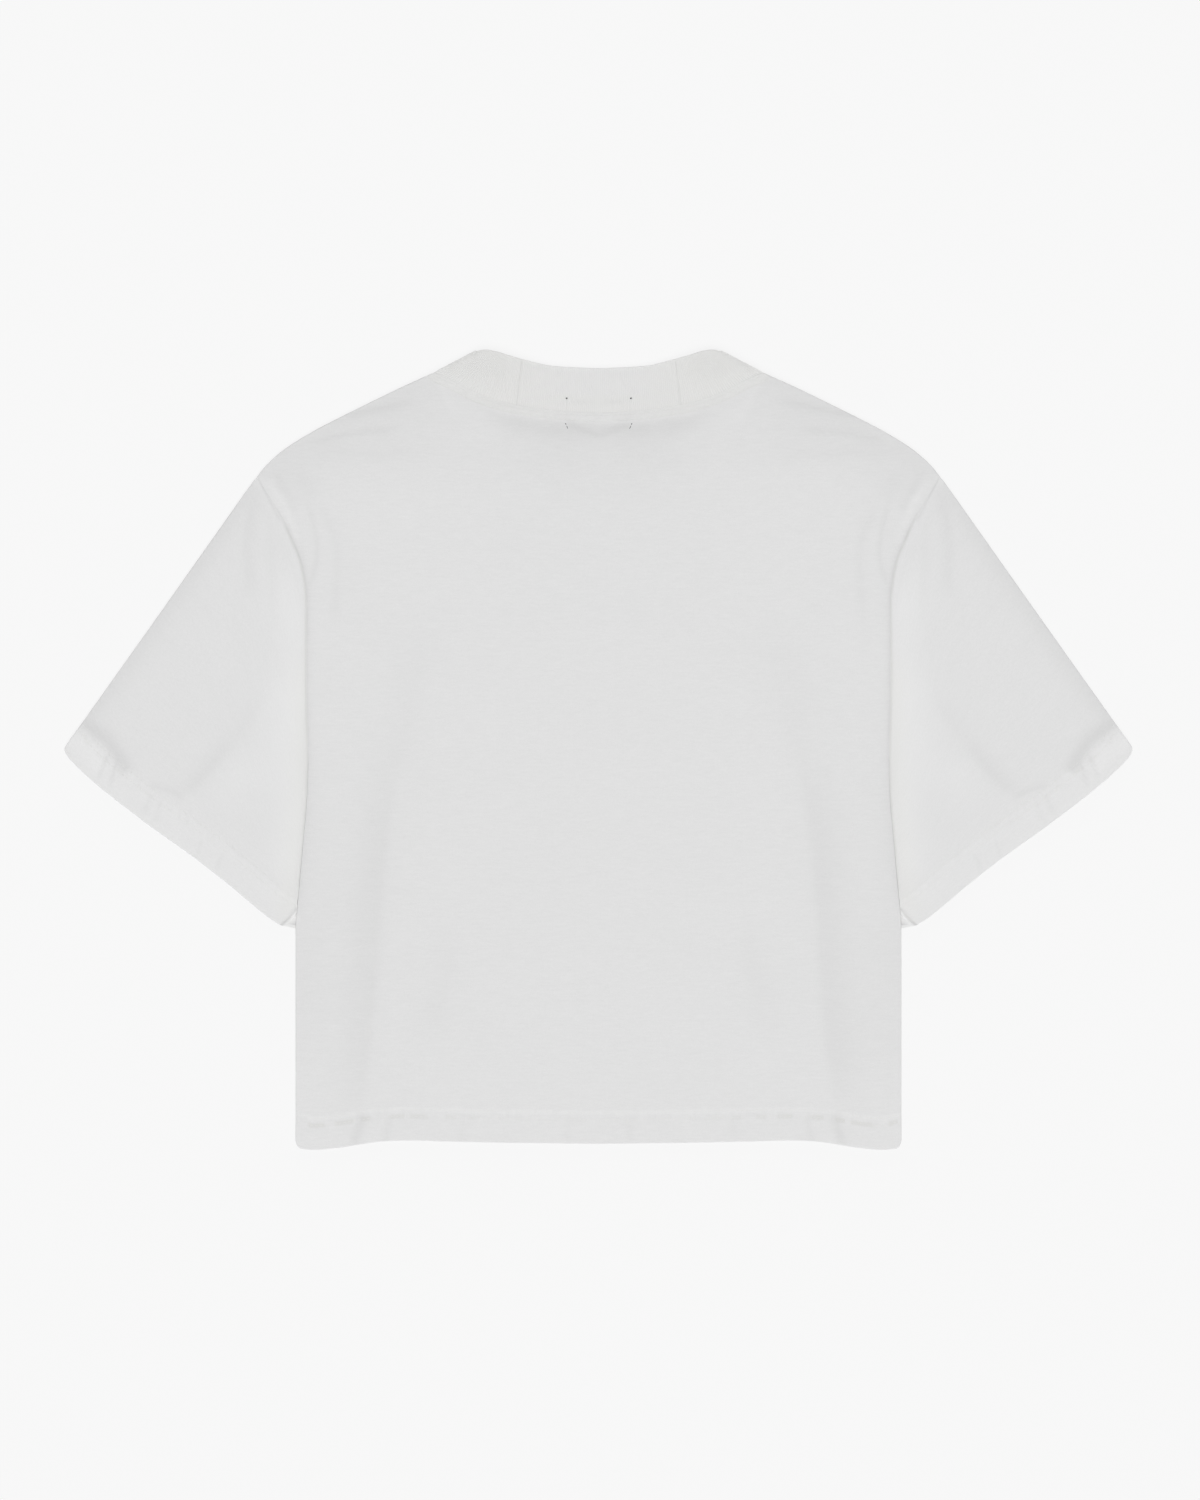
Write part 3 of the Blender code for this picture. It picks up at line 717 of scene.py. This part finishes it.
def past_underarm(plan):
    """From 0 where the body and the sleeve touch to 1 below."""
    return smooth_step((UNDERARM_END - plan[..., 1]) / UNDERARM_FADE)


def underarm_rim(plan):
    return UNDERARM_RIM + (EDGE_RIM - UNDERARM_RIM) * past_underarm(plan)


def panel_roundness(plan):
    """How far a panel's points are from its shoulder and side edges, from 0 on them to 1."""
    return (roundness(distance_to(plan, SHOULDER_EDGE), EDGE_RIM)
            * roundness(distance_to(plan, SIDE_CURVE), underarm_rim(plan)))


def armhole_dip(points, width):
    """How far the cloth sinks towards the armhole's seam, which starts smooth at the shoulder."""
    start = smooth_step((ARMHOLE[0].y - DIP_START - points[..., 1]) / DIP_FADE)
    return SEAM_DIP * start * hump(distance_to(points, UNDERARM_LINE), width)


def back_face(points):
    """Height of the back panel's outer face, inside its rims."""
    below = below_seam(points)
    return (upper_height(points, below) + neck_strip(below) + hem_rise(distance_to(points, HEM_CURVE))
            - armhole_dip(points, BODY_DIP_WIDTH))


def body_panel(name, neck_curve, step, upper):
    plan = panel_grid(neck_curve, step)
    to_hem = distance_to(plan, HEM_CURVE)
    to_hem[-1] = 0.0
    rim = panel_roundness(plan)
    lift = TURN_RADIUS * (1.0 - roundness(to_hem, TURN_RADIUS)) * rim
    if upper:
        outer = SEAM_LEVEL + SEAM_GAP + (back_face(plan) - SEAM_LEVEL) * rim - lift
        inner = outer + 2 * lift - 2 * TURN_RADIUS * rim
        below = below_seam(plan)
        # The painted shade of the folds and of the hollow under the neckband (a share of it under the
        # strip), the folds' painted highlights, and lighter hems.
        clear = UNDER_STRIP + (1.0 - UNDER_STRIP) * smooth_step((below - STRIP_DEPTH) / STRIP_FADE)
        painted_light = (1.0 + fold_sum(plan, BODY_FOLDS, "tint") - HOLLOW_PAINTED_SHADE * hollow(plan, below) * clear
                 + HEM_TINT * on_hem(to_hem))
    else:
        outer = (SEAM_LEVEL - SEAM_GAP) * (1.0 - rim) + armhole_dip(plan, BODY_DIP_WIDTH) + lift
        inner = outer - 2 * lift + 2 * TURN_RADIUS * rim
        painted_light = np.ones_like(outer)
    rows = rows_turned_up(to_hem[:, 0])
    turned = drawn_in(plan, [(-1.0, distance_to(plan, SIDE_CURVE))], HEM_INSET)
    points = mirrored(turned_up(np.dstack([plan, outer]), np.dstack([turned, inner]), rows))
    to_neck = distance_to(plan, neck_curve)
    warmth = STRIP_WARMTH + STRIP_END_WARMTH * smooth_step(np.abs(plan[..., 0]) / STRIP_WARM_REACH)
    warmth *= smooth_step((STRIP_DEPTH - to_neck) / STRIP_FADE)
    looks = {"painted_light": painted_light, "warmth": warmth, "to_hem": to_hem, "to_neck": to_neck}
    looks = {look: mirrored(turned_up(values, values, rows)) for look, values in looks.items()}
    piece = cloth_mesh(name, points, mirrored(turned_up(plan, plan, rows)), looks, outward=upper)
    thicken(piece, JERSEY)
    finished(piece, jersey, "back_panel" if upper else "front_panel")
    return plan, to_hem


# Sleeves

def sleeve_grid():
    """Plans of a sleeve's upper and lower layers, as rows from the armhole to the cuff."""
    armhole = ARMHOLE_CURVE[::-1] + (SEAM_GAP, 0.0)
    armhole[-1] = SLEEVE_FOLD[0]
    across = shares_of(length_of(CUFF_CURVE), SLEEVE_STEP, EDGE_INSETS, EDGE_INSETS)
    down = shares_of(length_of(OUTER_FOLD), SLEEVE_STEP, EDGE_INSETS, HEM_INSETS)
    plan = patch(armhole, CUFF_CURVE, UNDERARM, OUTER_FOLD, across, down)
    shift = (at_shares(LOWER_UNDERARM, down) - at_shares(UNDERARM, down))[:, None]
    fade = smooth_step(1.0 - across / LOWER_SHIFT_SHARE)[None, :, None]
    return plan, plan + shift * fade, across, down


def reaching_out(plan, lower_plan):
    """The upper layer's plan, with its first columns moved out towards the fold of the lower one."""
    over = plan.copy()
    first = len(CORNER_SHARES)
    over[:, :first] += (lower_plan - plan)[:, :first] * np.array(CORNER_SHARES)[None, :, None]
    return over


def sleeve_face(points):
    """Height of the upper layer's outer face on a sleeve, inside its rims."""
    far_below = np.ones(points.shape[:-1])
    return (upper_height(points, far_below) + hem_rise(distance_to(points, CUFF_CURVE))
            - armhole_dip(points, SLEEVE_DIP_WIDTH))


def sleeve_piece(name, side, node):
    plan, lower_plan, across, down = sleeve_grid()
    to_hem = distance_to(plan, CUFF_CURVE)
    to_hem[-1] = 0.0
    to_fold = distance_to(plan, OUTER_FOLD)
    to_underarm = distance_to(plan, UNDERARM)
    past = past_underarm(plan)
    upper_rim = roundness(np.maximum(to_underarm - CORNER_EDGE * past, 0.0), underarm_rim(plan))
    upper_rim *= roundness(to_fold, EDGE_RIM)
    lower_rim = roundness(to_underarm, UNDERARM_RIM) * roundness(to_fold, EDGE_RIM)
    upper_rim[:, [0, -1]] = lower_rim[:, [0, -1]] = 0.0
    level = SEAM_LEVEL + CORNER_RISE * past
    dip = armhole_dip(plan, SLEEVE_DIP_WIDTH)

    def ring(turn, drop, inset):
        """Both layers' points, this far into the cloth from their faces, and moved in at the edges."""
        over, under = [drawn_in(layer, [(1.0, to_underarm), (-1.0, to_fold)], inset)
                       for layer in (plan, lower_plan)]
        over = reaching_out(over, under)
        upper = level + (sleeve_face(plan) - level - turn) * upper_rim - drop * (1.0 - upper_rim)
        lower = level + (dip + turn - level) * lower_rim
        return np.concatenate([np.dstack([over, upper]), np.dstack([under, lower])[:, -2:0:-1]], axis=1)

    rows = rows_turned_up(to_hem[:, plan.shape[1] // 2])
    turn = TURN_RADIUS * (1.0 - roundness(to_hem, TURN_RADIUS))
    inner = ring(2 * TURN_RADIUS - turn, CORNER_DROP * past, HEM_INSET)
    points = turned_up(ring(turn, 0.0, 0.0), inner, rows)

    def whole(upper, lower):
        """A look's values on both layers, and again on the hem's inner layer."""
        values = np.concatenate([upper, lower[:, -2:0:-1]], axis=1)
        return turned_up(values, values, rows)

    over_plan = reaching_out(plan, lower_plan)
    # The painted shade and highlights of the sleeve's folds, and a lighter cuff.
    painted_light = 1.0 + fold_sum(over_plan, SLEEVE_FOLDS, "tint") + CUFF_TINT * on_hem(to_hem)
    looks = {"painted_light": whole(painted_light, np.ones_like(to_hem)),
             "warmth": whole(fold_sum(plan, WARM_PLACES, "tint"), np.zeros_like(to_hem)),
             "to_hem": whole(to_hem, to_hem), "to_neck": 1.0}
    girth = np.concatenate([across, 2.0 - across[-2::-1]]) * length_of(CUFF_CURVE)
    height = (1.0 - down) * length_of(OUTER_FOLD)
    threads = np.dstack(np.meshgrid(girth, height))
    first = len(CORNER_SHARES)
    threads[:, :first, 0] -= np.linalg.norm(over_plan - plan, axis=-1)[:, :first]
    points = points * (side, 1.0, 1.0)
    piece = cloth_mesh(name, points, turned_up(threads, threads, rows), looks, around=True, outward=side > 0)
    thicken(piece, JERSEY)
    finished(piece, sleeve_jersey, node)
    return plan, to_hem


# Neckband

def band_stations(sections):
    """Free-edge and seam points along a band, several to each rib."""
    edges = curve_through([Point(s.edge_x, s.edge_y) for s in sections])
    seams = curve_through([Point(s.seam_x, s.seam_y) for s in sections])
    count = round((length_of(edges) + length_of(seams)) / 2 / BAND_STEP)
    shares = np.linspace(0.0, 1.0, count + 1)
    return at_shares(edges, shares), at_shares(seams, shares)


def band_profile():
    """The band's section: shares from its free edge to its seam, and depths from 0 outside to 1 inside."""
    angles = np.radians(np.linspace(90, 270, EDGE_STEPS))[1:-1]
    edge_round = RIB / 2 / BAND_WIDTH
    even = np.linspace(0.0, 1.0, BAND_SAMPLES)
    crowded = even - SAMPLE_CROWDING * np.sin(2 * np.pi * even) / (2 * np.pi)
    over = 1.0 - (1.0 - edge_round) * crowded
    share = np.concatenate([over, edge_round * (1 + np.cos(angles)), over[::-1]])
    depth = np.concatenate([np.zeros_like(over), 0.5 - 0.5 * np.sin(angles), np.ones_like(over)])
    return share, depth


def band_piece(name, edges, seams, bulge, normals, warmth, node):
    """A folded strip of rib on the edge and seam points of its outer face, fuller where it turns over."""
    share, depth = band_profile()
    run = seams - edges
    width = np.linalg.norm(run, axis=-1)[:, None]
    along = lengths_along((edges + seams) / 2)
    ribs = RIB_DEPTH * (np.cos(2 * np.pi * along / RIB_PITCH) - 1.0)
    ends = -BAND_END_DIP * (hump(along, BAND_END_WIDTH) + hump(along[-1] - along, BAND_END_WIDTH))
    to_seam = (1.0 - share)[None] * width
    to_edge = share[None] * width
    tape = smooth_step((TAPE_DEPTH - to_seam) / TAPE_SLOPE) - hump(to_seam, TAPE_SEAM_WIDTH)
    relief = TAPE_RISE * tape + (ribs + ends)[:, None]
    level = np.where(depth[None] == 0.0, relief, 0.0) - depth[None] * RIB
    full = TURN_FULLNESS + (1.0 - TURN_FULLNESS) * smooth_step(to_seam / TURN_SEAM_TAPER)
    full *= roundness(to_edge, TURN_EDGE_TAPER)
    points = (edges[:, None] + share[None, :, None] * run[:, None] + full[..., None] * bulge[:, None]
              + level[..., None] * normals[:, None])
    threads = np.dstack([np.broadcast_to(along[:, None], to_seam.shape), to_seam])
    threads = np.concatenate([threads, threads[:, :1]], axis=1)
    tape_warmth = TAPE_WARMTH * smooth_step((TAPE_DEPTH + TAPE_MARGIN - to_seam) / TAPE_FADE)
    # The painted shade and highlights on the neckband.
    painted_light = 1.0 + fold_sum(np.abs(points[..., :2]), BAND_FOLDS, "tint")
    looks = {"painted_light": painted_light, "warmth": np.maximum(warmth[:, None], tape_warmth)}
    piece = cloth_mesh(name, points, threads, looks, around=True, capped=True)
    finished(piece, neck_rib, node)


def band_level(seams):
    return upper_height(seams, np.zeros(len(seams))) + RIB_RISE


def band_warmth(seams):
    return BAND_WARMTH * smooth_step((np.abs(seams[:, 0]) - BAND_WARM_START) / BAND_WARM_REACH)


def neckband_back_piece():
    edges, seams = band_stations(BACK_BAND[:4])
    level = band_level(seams)
    warmth = band_warmth(seams)
    edges, seams = [both_sides(at_height(line, level)) for line in (edges, seams)]
    normals = np.tile([0.0, 0.0, 1.0], (len(edges), 1))
    warmth = np.concatenate([warmth[:0:-1], warmth])
    bulge = np.zeros_like(normals)
    band_piece("neckband_back_rib", edges, seams, bulge, normals, warmth, "neckband_back")


def neckband_front_piece():
    edge, seam, reach = fold_section(TURN)
    half_height = (NECK_TOP + RIB_RISE) / 2
    turn = Section(*edge, *seam)
    edges, seams = band_stations([*BACK_BAND[3:], turn])
    level = band_level(seams)
    from_turn = length_of(seams) - lengths_along(seams)
    level = level + (2 * half_height - level[-1]) * smooth_step(1.0 - from_turn / TURN_RISE_REACH)
    angles = np.radians(np.linspace(0, 180, TURN_STEPS))[1:-1]
    out = (1.0 - (1.0 - np.sin(angles)) ** 3)[:, None] * reach[None]
    under_edges, under_seams = band_stations([turn, *FRONT_BAND])
    turn_level = half_height * (1.0 + np.cos(angles))
    halves = [np.vstack([at_height(over, level), [(*corner, height) for height in turn_level],
                         at_height(under, 0.0)])
              for over, corner, under in ((edges, edge, under_edges), (seams, seam, under_seams))]
    bulge = at_height(np.vstack([np.zeros_like(edges), out, np.zeros_like(under_edges)]), 0.0)
    normals = np.vstack([np.tile([0.0, 0.0, 1.0], (len(edges), 1)),
                         at_height(out / half_height, np.cos(angles)),
                         np.tile([0.0, 0.0, -1.0], (len(under_edges), 1))])
    warmth = band_warmth(halves[1])
    warmth = np.concatenate([warmth, warmth[-2::-1]])
    edges, seams, bulge, normals = [joined(half, (half * (-1, 1, 1))[::-1])
                                    for half in (*halves, bulge, normals)]
    band_piece("neckband_front_rib", edges, seams, bulge, normals, warmth, "neckband_front")


# Stitches

def thread_stitch():
    """Points and faces of one short thread along X, whose end quarters dip half its thickness."""
    bpy.ops.object.select_all(action="DESELECT")
    bpy.ops.mesh.primitive_uv_sphere_add(segments=6, ring_count=6, radius=0.5,
                                         rotation=(0.0, math.pi / 2, 0.0))
    bpy.ops.object.transform_apply(rotation=True)
    bpy.ops.transform.resize(value=(STITCH, THREAD, THREAD))
    bpy.ops.object.transform_apply(scale=True)
    stitch = bpy.context.object
    points = np.array([vertex.co for vertex in stitch.data.vertices])
    points[:, 2] -= 0.5 * THREAD * np.clip(np.abs(points[:, 0]) / STITCH * 4.0 - 1.0, 0.0, 1.0)
    faces = [list(face.vertices) for face in stitch.data.polygons]
    bpy.data.objects.remove(stitch, do_unlink=True)
    return points, faces


def sewn(name, copies, faces, finish):
    """One piece of many short threads, each a copy of the same faces on its own points."""
    points = np.vstack(copies)
    starts = range(0, len(points), len(copies[0]))
    polygons = [[corner + start for corner in face] for start in starts for face in faces]
    finished(mesh_piece(name, points, polygons), finish)


def stitches(name, lines, down=False):
    """Rows of stitches along lines of points on the cloth."""
    shape, faces = thread_stitch()
    copies = []
    for line in lines:
        count = int(length_of(line) / STITCH_PITCH)
        middles = at_shares(line, (np.arange(count) + 0.5) / count)
        ahead = at_shares(line, (np.arange(count) + 0.7) / count) - middles
        ahead /= np.linalg.norm(ahead, axis=1)[:, None]
        up = np.array([0.0, 0.0, -1.0 if down else 1.0])
        across = np.cross(up, ahead)
        across /= np.linalg.norm(across, axis=1)[:, None]
        rise = np.cross(ahead, across)
        for middle, *axes in zip(middles, ahead, across, rise):
            copies.append(middle + shape @ np.array(axes))
    sewn(name, copies, faces, thread)


def hem_stitches():
    lines = [contour(back_plan, back_to_hem, row) for row in HEM_ROWS]
    upper = [both_sides(at_height(line, back_face(line))) for line in lines]
    lower = [both_sides(at_height(line, 0.0)) for line in lines]
    stitches("back_hem_stitches", upper)
    stitches("front_hem_stitches", lower, down=True)


def cuff_stitches():
    lines = [contour(sleeve_plan, sleeve_to_hem, row)[CUFF_ROW_ENDS:-CUFF_ROW_ENDS] for row in HEM_ROWS]
    upper = [at_height(line, sleeve_face(line)) for line in lines]
    lower = [at_height(line, 0.0) for line in lines]
    for name, side in (("right", 1), ("left", -1)):
        over, under = [[line * (side, 1, 1) for line in lines] for lines in (upper, lower)]
        stitches(f"cuff_{name}_stitches", over)
        stitches(f"cuff_{name}_lower_stitches", under, down=True)


def neck_stitches():
    lines = []
    for row in STRIP_ROWS:
        line = offset(BACK_NECKLINE, row)
        line = line[distance_to(line, SHOULDER_CURVE) > STRIP_ENDS]
        lines.append(both_sides(at_height(line, back_face(line))))
    stitches("neck_strip_stitches", lines)


def label_tacks():
    """The dark tacks at the corners of the label inside the neck."""
    shape, faces = thread_stitch()
    copies = []
    for tack in LABEL_TACKS:
        line = np.array([tack.start, tack.end])
        place = np.abs(line)
        on_band = below_seam(place) == 0.0
        ends = at_height(line, np.where(on_band, band_level(place) + TAPE_RISE, back_face(place)))
        length = np.linalg.norm(ends[1] - ends[0])
        x = (ends[1] - ends[0]) / length
        y = np.cross([0.0, 0.0, 1.0], x)
        size = (length / STITCH, tack.thick / THREAD, tack.thick / THREAD)
        copies.append(ends.mean(axis=0) + (shape * size) @ np.array([x, y, np.cross(x, y)]))
    sewn("label_tacks", copies, faces, dark_thread)


# Finishes

class Value:
    """A shader output that Python's operators work on."""

    def __init__(self, finish, socket):
        self.finish = finish
        self.socket = socket

    def maths(self, operation, *others):
        inputs = dict(enumerate((self, *others)))
        return self.finish.node("ShaderNodeMath", {"operation": operation}, inputs)

    def __add__(self, other):
        return self.maths("ADD", other)

    def __mul__(self, other):
        return self.maths("MULTIPLY", other)

    def __sub__(self, other):
        return self.maths("SUBTRACT", other)

    def __rsub__(self, other):
        return self * -1.0 + other

    __radd__ = __add__


class Finish:
    """A material whose nodes are added one by one."""

    def __init__(self, name, roughness, sheen=0.05):
        self.material = bpy.data.materials.new(name)
        self.material.use_nodes = True
        self.tree = self.material.node_tree
        self.shader = self.tree.nodes["Principled BSDF"]
        self.shader.inputs["Roughness"].default_value = roughness
        self.shader.inputs["Specular IOR Level"].default_value = 0.15
        self.shader.inputs["Sheen Weight"].default_value = sheen
        self.shader.inputs["Sheen Roughness"].default_value = 0.5

    def node(self, kind, settings=None, values=None, output=0):
        """Add a node with these settings, and these values or links at its inputs."""
        made = self.tree.nodes.new(kind)
        for name, value in (settings or {}).items():
            setattr(made, name, value)
        for name, value in (values or {}).items():
            self.put(made.inputs[name], value)
        return Value(self, made.outputs[output])

    def put(self, socket, value):
        if isinstance(value, Value):
            self.tree.links.new(value.socket, socket)
        else:
            socket.default_value = value

    def feed(self, name, value):
        self.put(self.shader.inputs[name], value)

    def threads(self):
        return self.node("ShaderNodeUVMap", {"uv_map": "Threads"})

    def look(self, name):
        return self.node("ShaderNodeAttribute", {"attribute_name": name}, output="Fac")

    def part(self, vector, axis):
        return self.node("ShaderNodeSeparateXYZ", {}, {0: vector}, output=axis)

    def noise(self, vector, x, y, detail=2.0):
        """Soft noise about 0, with this many features to a metre along x and y."""
        scaled = self.node("ShaderNodeVectorMath", {"operation": "MULTIPLY"}, {0: vector, 1: (x, y, 1.0)})
        inputs = {"Vector": scaled, "Scale": 1.0, "Detail": detail}
        return self.node("ShaderNodeTexNoise", {}, inputs) - 0.5

    def groove(self, value, place, width):
        """1 where the value is at this place, falling to 0 at this width from it."""
        gap = (value - place) * (1.0 / width)
        return (1.0 - gap * gap).maths("MAXIMUM", 0.0)

    def feed_colour(self, colour, warmth, factor):
        """Feed the colour, warmer where warmth is 1, times a factor that varies over the surface."""
        warm_colour = [a * b for a, b in zip(colour, WARM)]
        mixed = self.node("ShaderNodeMix", {"data_type": "VECTOR"},
                          {"Factor": warmth, 4: colour, 5: warm_colour}, output=1)
        grey = self.node("ShaderNodeCombineXYZ", {}, {"X": factor, "Y": factor, "Z": factor})
        tinted = self.node("ShaderNodeVectorMath", {"operation": "MULTIPLY"}, {0: mixed, 1: grey})
        self.feed("Base Color", tinted)

    def feed_relief(self, height):
        """Feed a relief of this height in millimetres."""
        inputs = {"Strength": 1.0, "Distance": 0.001, "Height": height}
        self.feed("Normal", self.node("ShaderNodeBump", {}, inputs))


def knit_finish(name, colour, slub_length, hem_painted_light):
    """Plain jersey: small V stitches, slubs across them, and puckers along the sewn rows, with painted
    light: puckers drawn lighter and darker, painted shade in the stitch rows and in creases above the hem,
    and a painted highlight along the hem.
    """
    finish = Finish(name, roughness=0.92)
    threads = finish.threads()
    x, y = finish.part(threads, "X"), finish.part(threads, "Y")
    to_hem, to_neck = finish.look("to_hem"), finish.look("to_neck")

    wobble = finish.noise(threads, 400.0, 400.0)
    across = (x * (1 / WALE) + wobble * 0.3).maths("FRACT") - 0.5
    leg = across.maths("ABSOLUTE")
    bow = leg * 4.0 - 1.0
    loops = ((y * (1 / COURSE) - leg * 1.3) * (2 * math.pi)).maths("COSINE")
    knit = (1.0 - bow * bow) * (loops * 0.4 + 0.6)
    fuzz = finish.noise(threads, 1500.0, 1500.0, detail=3.0)
    slub = finish.noise(threads, 1 / slub_length, 620.0, detail=3.0)
    grain = finish.noise(threads, 480.0, 560.0)
    mottle = finish.noise(threads, 60.0, 180.0, detail=3.0)
    cloudy = finish.noise(threads, 12.0, 24.0)

    on_hem_row = finish.groove(to_hem, HEM_DEPTH - HEM_FADE, 0.0060)
    on_strip = finish.groove(to_neck, sum(STRIP_ROWS) / 2, 0.0035)
    pucker = finish.noise(threads, 330.0, 90.0) * (on_hem_row + on_strip)
    rows = sum(finish.groove(to_neck, row, 0.0007) for row in STRIP_ROWS)
    # A painted highlight along the top of the turned-up hem.
    edge = finish.groove(to_hem, HEM_ROWS[0], 0.0019) * (finish.noise(threads, 150.0, 60.0) + 0.9)

    # Painted shade of short creases above the hem, with no relief of their own; they are a little warmer
    # too.
    wander = finish.noise(threads, 45.0, 20.0) * 11.0
    painted_crease_shade = (x * (2 * math.pi / CREASE_PERIOD) + wander).maths("SINE") * 1.6 + 0.8
    painted_crease_shade = painted_crease_shade.maths("MAXIMUM", 0.0).maths("MINIMUM", 1.0)
    to_side = x.maths("ABSOLUTE") * 12.0 - 0.7
    to_side = to_side.maths("MINIMUM", 1.0).maths("MAXIMUM", 0.0)
    painted_crease_shade = finish.groove(to_hem, HEM_ROWS[1], 0.0021) * painted_crease_shade * (to_side * 0.9 + 0.1) * hem_painted_light

    # Besides the cloth's own unevenness, the colour holds painted light: the puckers lighter and darker,
    # painted shade in the strip's stitch rows and the creases, a painted highlight at the hem, and the
    # painted shade and highlights that the mesh carries.
    variation = (1.0 + cloudy * 0.020 + mottle * 0.030 + slub * 0.058 + grain * 0.050 + fuzz * 0.10
                 + knit * 0.008 + pucker * 0.06 - rows * 0.014 + edge * (0.032 * hem_painted_light) - painted_crease_shade * 0.055)
    finish.feed_colour(colour, finish.look("warmth") + painted_crease_shade, variation * finish.look("painted_light"))
    finish.feed_relief(knit * 0.03 + fuzz * 0.05 + slub * 0.03 + pucker * 0.2 - rows * 0.08)
    return finish.material


def rib_finish(name, colour):
    """One-by-one rib: the ribs' relief is in the mesh, and this adds their stitches and unevenness."""
    finish = Finish(name, roughness=0.93)
    threads = finish.threads()
    rib = (finish.part(threads, "X") * (2 * math.pi / RIB_PITCH)).maths("COSINE")
    stitch = (finish.part(threads, "Y") * (2 * math.pi / COURSE)).maths("COSINE")
    fuzz = finish.noise(threads, 1500.0, 1500.0, detail=3.0)
    mottle = finish.noise(threads, 160.0, 90.0, detail=3.0)
    variation = 1.0 + mottle * 0.03 + fuzz * 0.06 + rib * 0.015 + stitch * 0.004
    # The colour is multiplied by the painted shade and highlights that the mesh carries.
    finish.feed_colour(colour, finish.look("warmth"), variation * finish.look("painted_light"))
    finish.feed_relief(fuzz * 0.03 + stitch * 0.01)
    return finish.material


def thread_finish(name, colour):
    finish = Finish(name, roughness=0.7, sheen=0.1)
    place = finish.node("ShaderNodeTexCoord", output="Object")
    twist = finish.noise(place, 2500.0, 2500.0)
    finish.feed_colour(colour, 0.0, 1.0 + twist * 0.1)
    return finish.material


jersey = knit_finish("Off-white jersey", (0.78, 0.78, 0.78), 0.0080, 1.0)
sleeve_jersey = knit_finish("Off-white jersey, sleeves", (0.78, 0.78, 0.78), 0.0025, 0.25)
neck_rib = rib_finish("Off-white rib", (0.775, 0.775, 0.772))
thread = thread_finish("Off-white thread", (0.80, 0.80, 0.79))
dark_thread = thread_finish("Dark thread", (0.03, 0.03, 0.035))

body_panel("front_panel_cloth", FRONT_NECKLINE, FRONT_STEP, upper=False)
back_plan, back_to_hem = body_panel("back_panel_cloth", BACK_NECKLINE, BACK_STEP, upper=True)
sleeve_piece("sleeve_right_cloth", 1, "sleeve_right")
sleeve_plan, sleeve_to_hem = sleeve_piece("sleeve_left_cloth", -1, "sleeve_left")
neckband_back_piece()
neckband_front_piece()
hem_stitches()
cuff_stitches()
neck_stitches()
label_tacks()


# Light, floor and camera

def sun(name, strength, elevation, azimuth, softness):
    """A soft distant light from this elevation and compass side, in degrees."""
    light = bpy.data.lights.new(name, "SUN")
    light.energy = strength
    light.angle = math.radians(softness)
    added(name, light).rotation_euler = (math.radians(90.0 - elevation), 0.0, math.radians(azimuth))


def studio():
    scene = bpy.context.scene
    scene.view_settings.view_transform = "Standard"
    world = bpy.data.worlds.new("Soft white studio")
    world.use_nodes = True
    world.node_tree.nodes["Background"].inputs["Color"].default_value = (1.0, 1.0, 1.0, 1.0)
    world.node_tree.nodes["Background"].inputs["Strength"].default_value = WORLD_LIGHT
    scene.world = world
    sun("Soft key light", KEY_LIGHT, elevation=58.0, azimuth=0.0, softness=50.0)
    sun("Soft fill light", FILL_LIGHT, elevation=16.0, azimuth=180.0, softness=40.0)

    bpy.ops.object.select_all(action="DESELECT")
    bpy.ops.mesh.primitive_plane_add(size=FLOOR_SIZE, location=(0.0, 0.0, FLOOR_LEVEL))
    floor = bpy.context.object
    floor.name = "floor"
    pale = bpy.data.materials.new("Pale floor")
    pale.use_nodes = True
    shader = pale.node_tree.nodes["Principled BSDF"]
    shader.inputs["Base Color"].default_value = (0.12, 0.12, 0.12, 1.0)
    shader.inputs["Roughness"].default_value = 1.0
    shader.inputs["Specular IOR Level"].default_value = 0.0
    shader.inputs["Emission Color"].default_value = (0.82, 0.82, 0.82, 1.0)
    shader.inputs["Emission Strength"].default_value = 1.0
    floor.data.materials.append(pale)

    camera = bpy.data.cameras.new("Camera")
    camera.lens = LENS
    camera.sensor_width = SENSOR
    scene.camera = added("Camera", camera)
    scene.camera.location = (CAMERA_X, CAMERA_Y, CAMERA_HEIGHT)


studio()
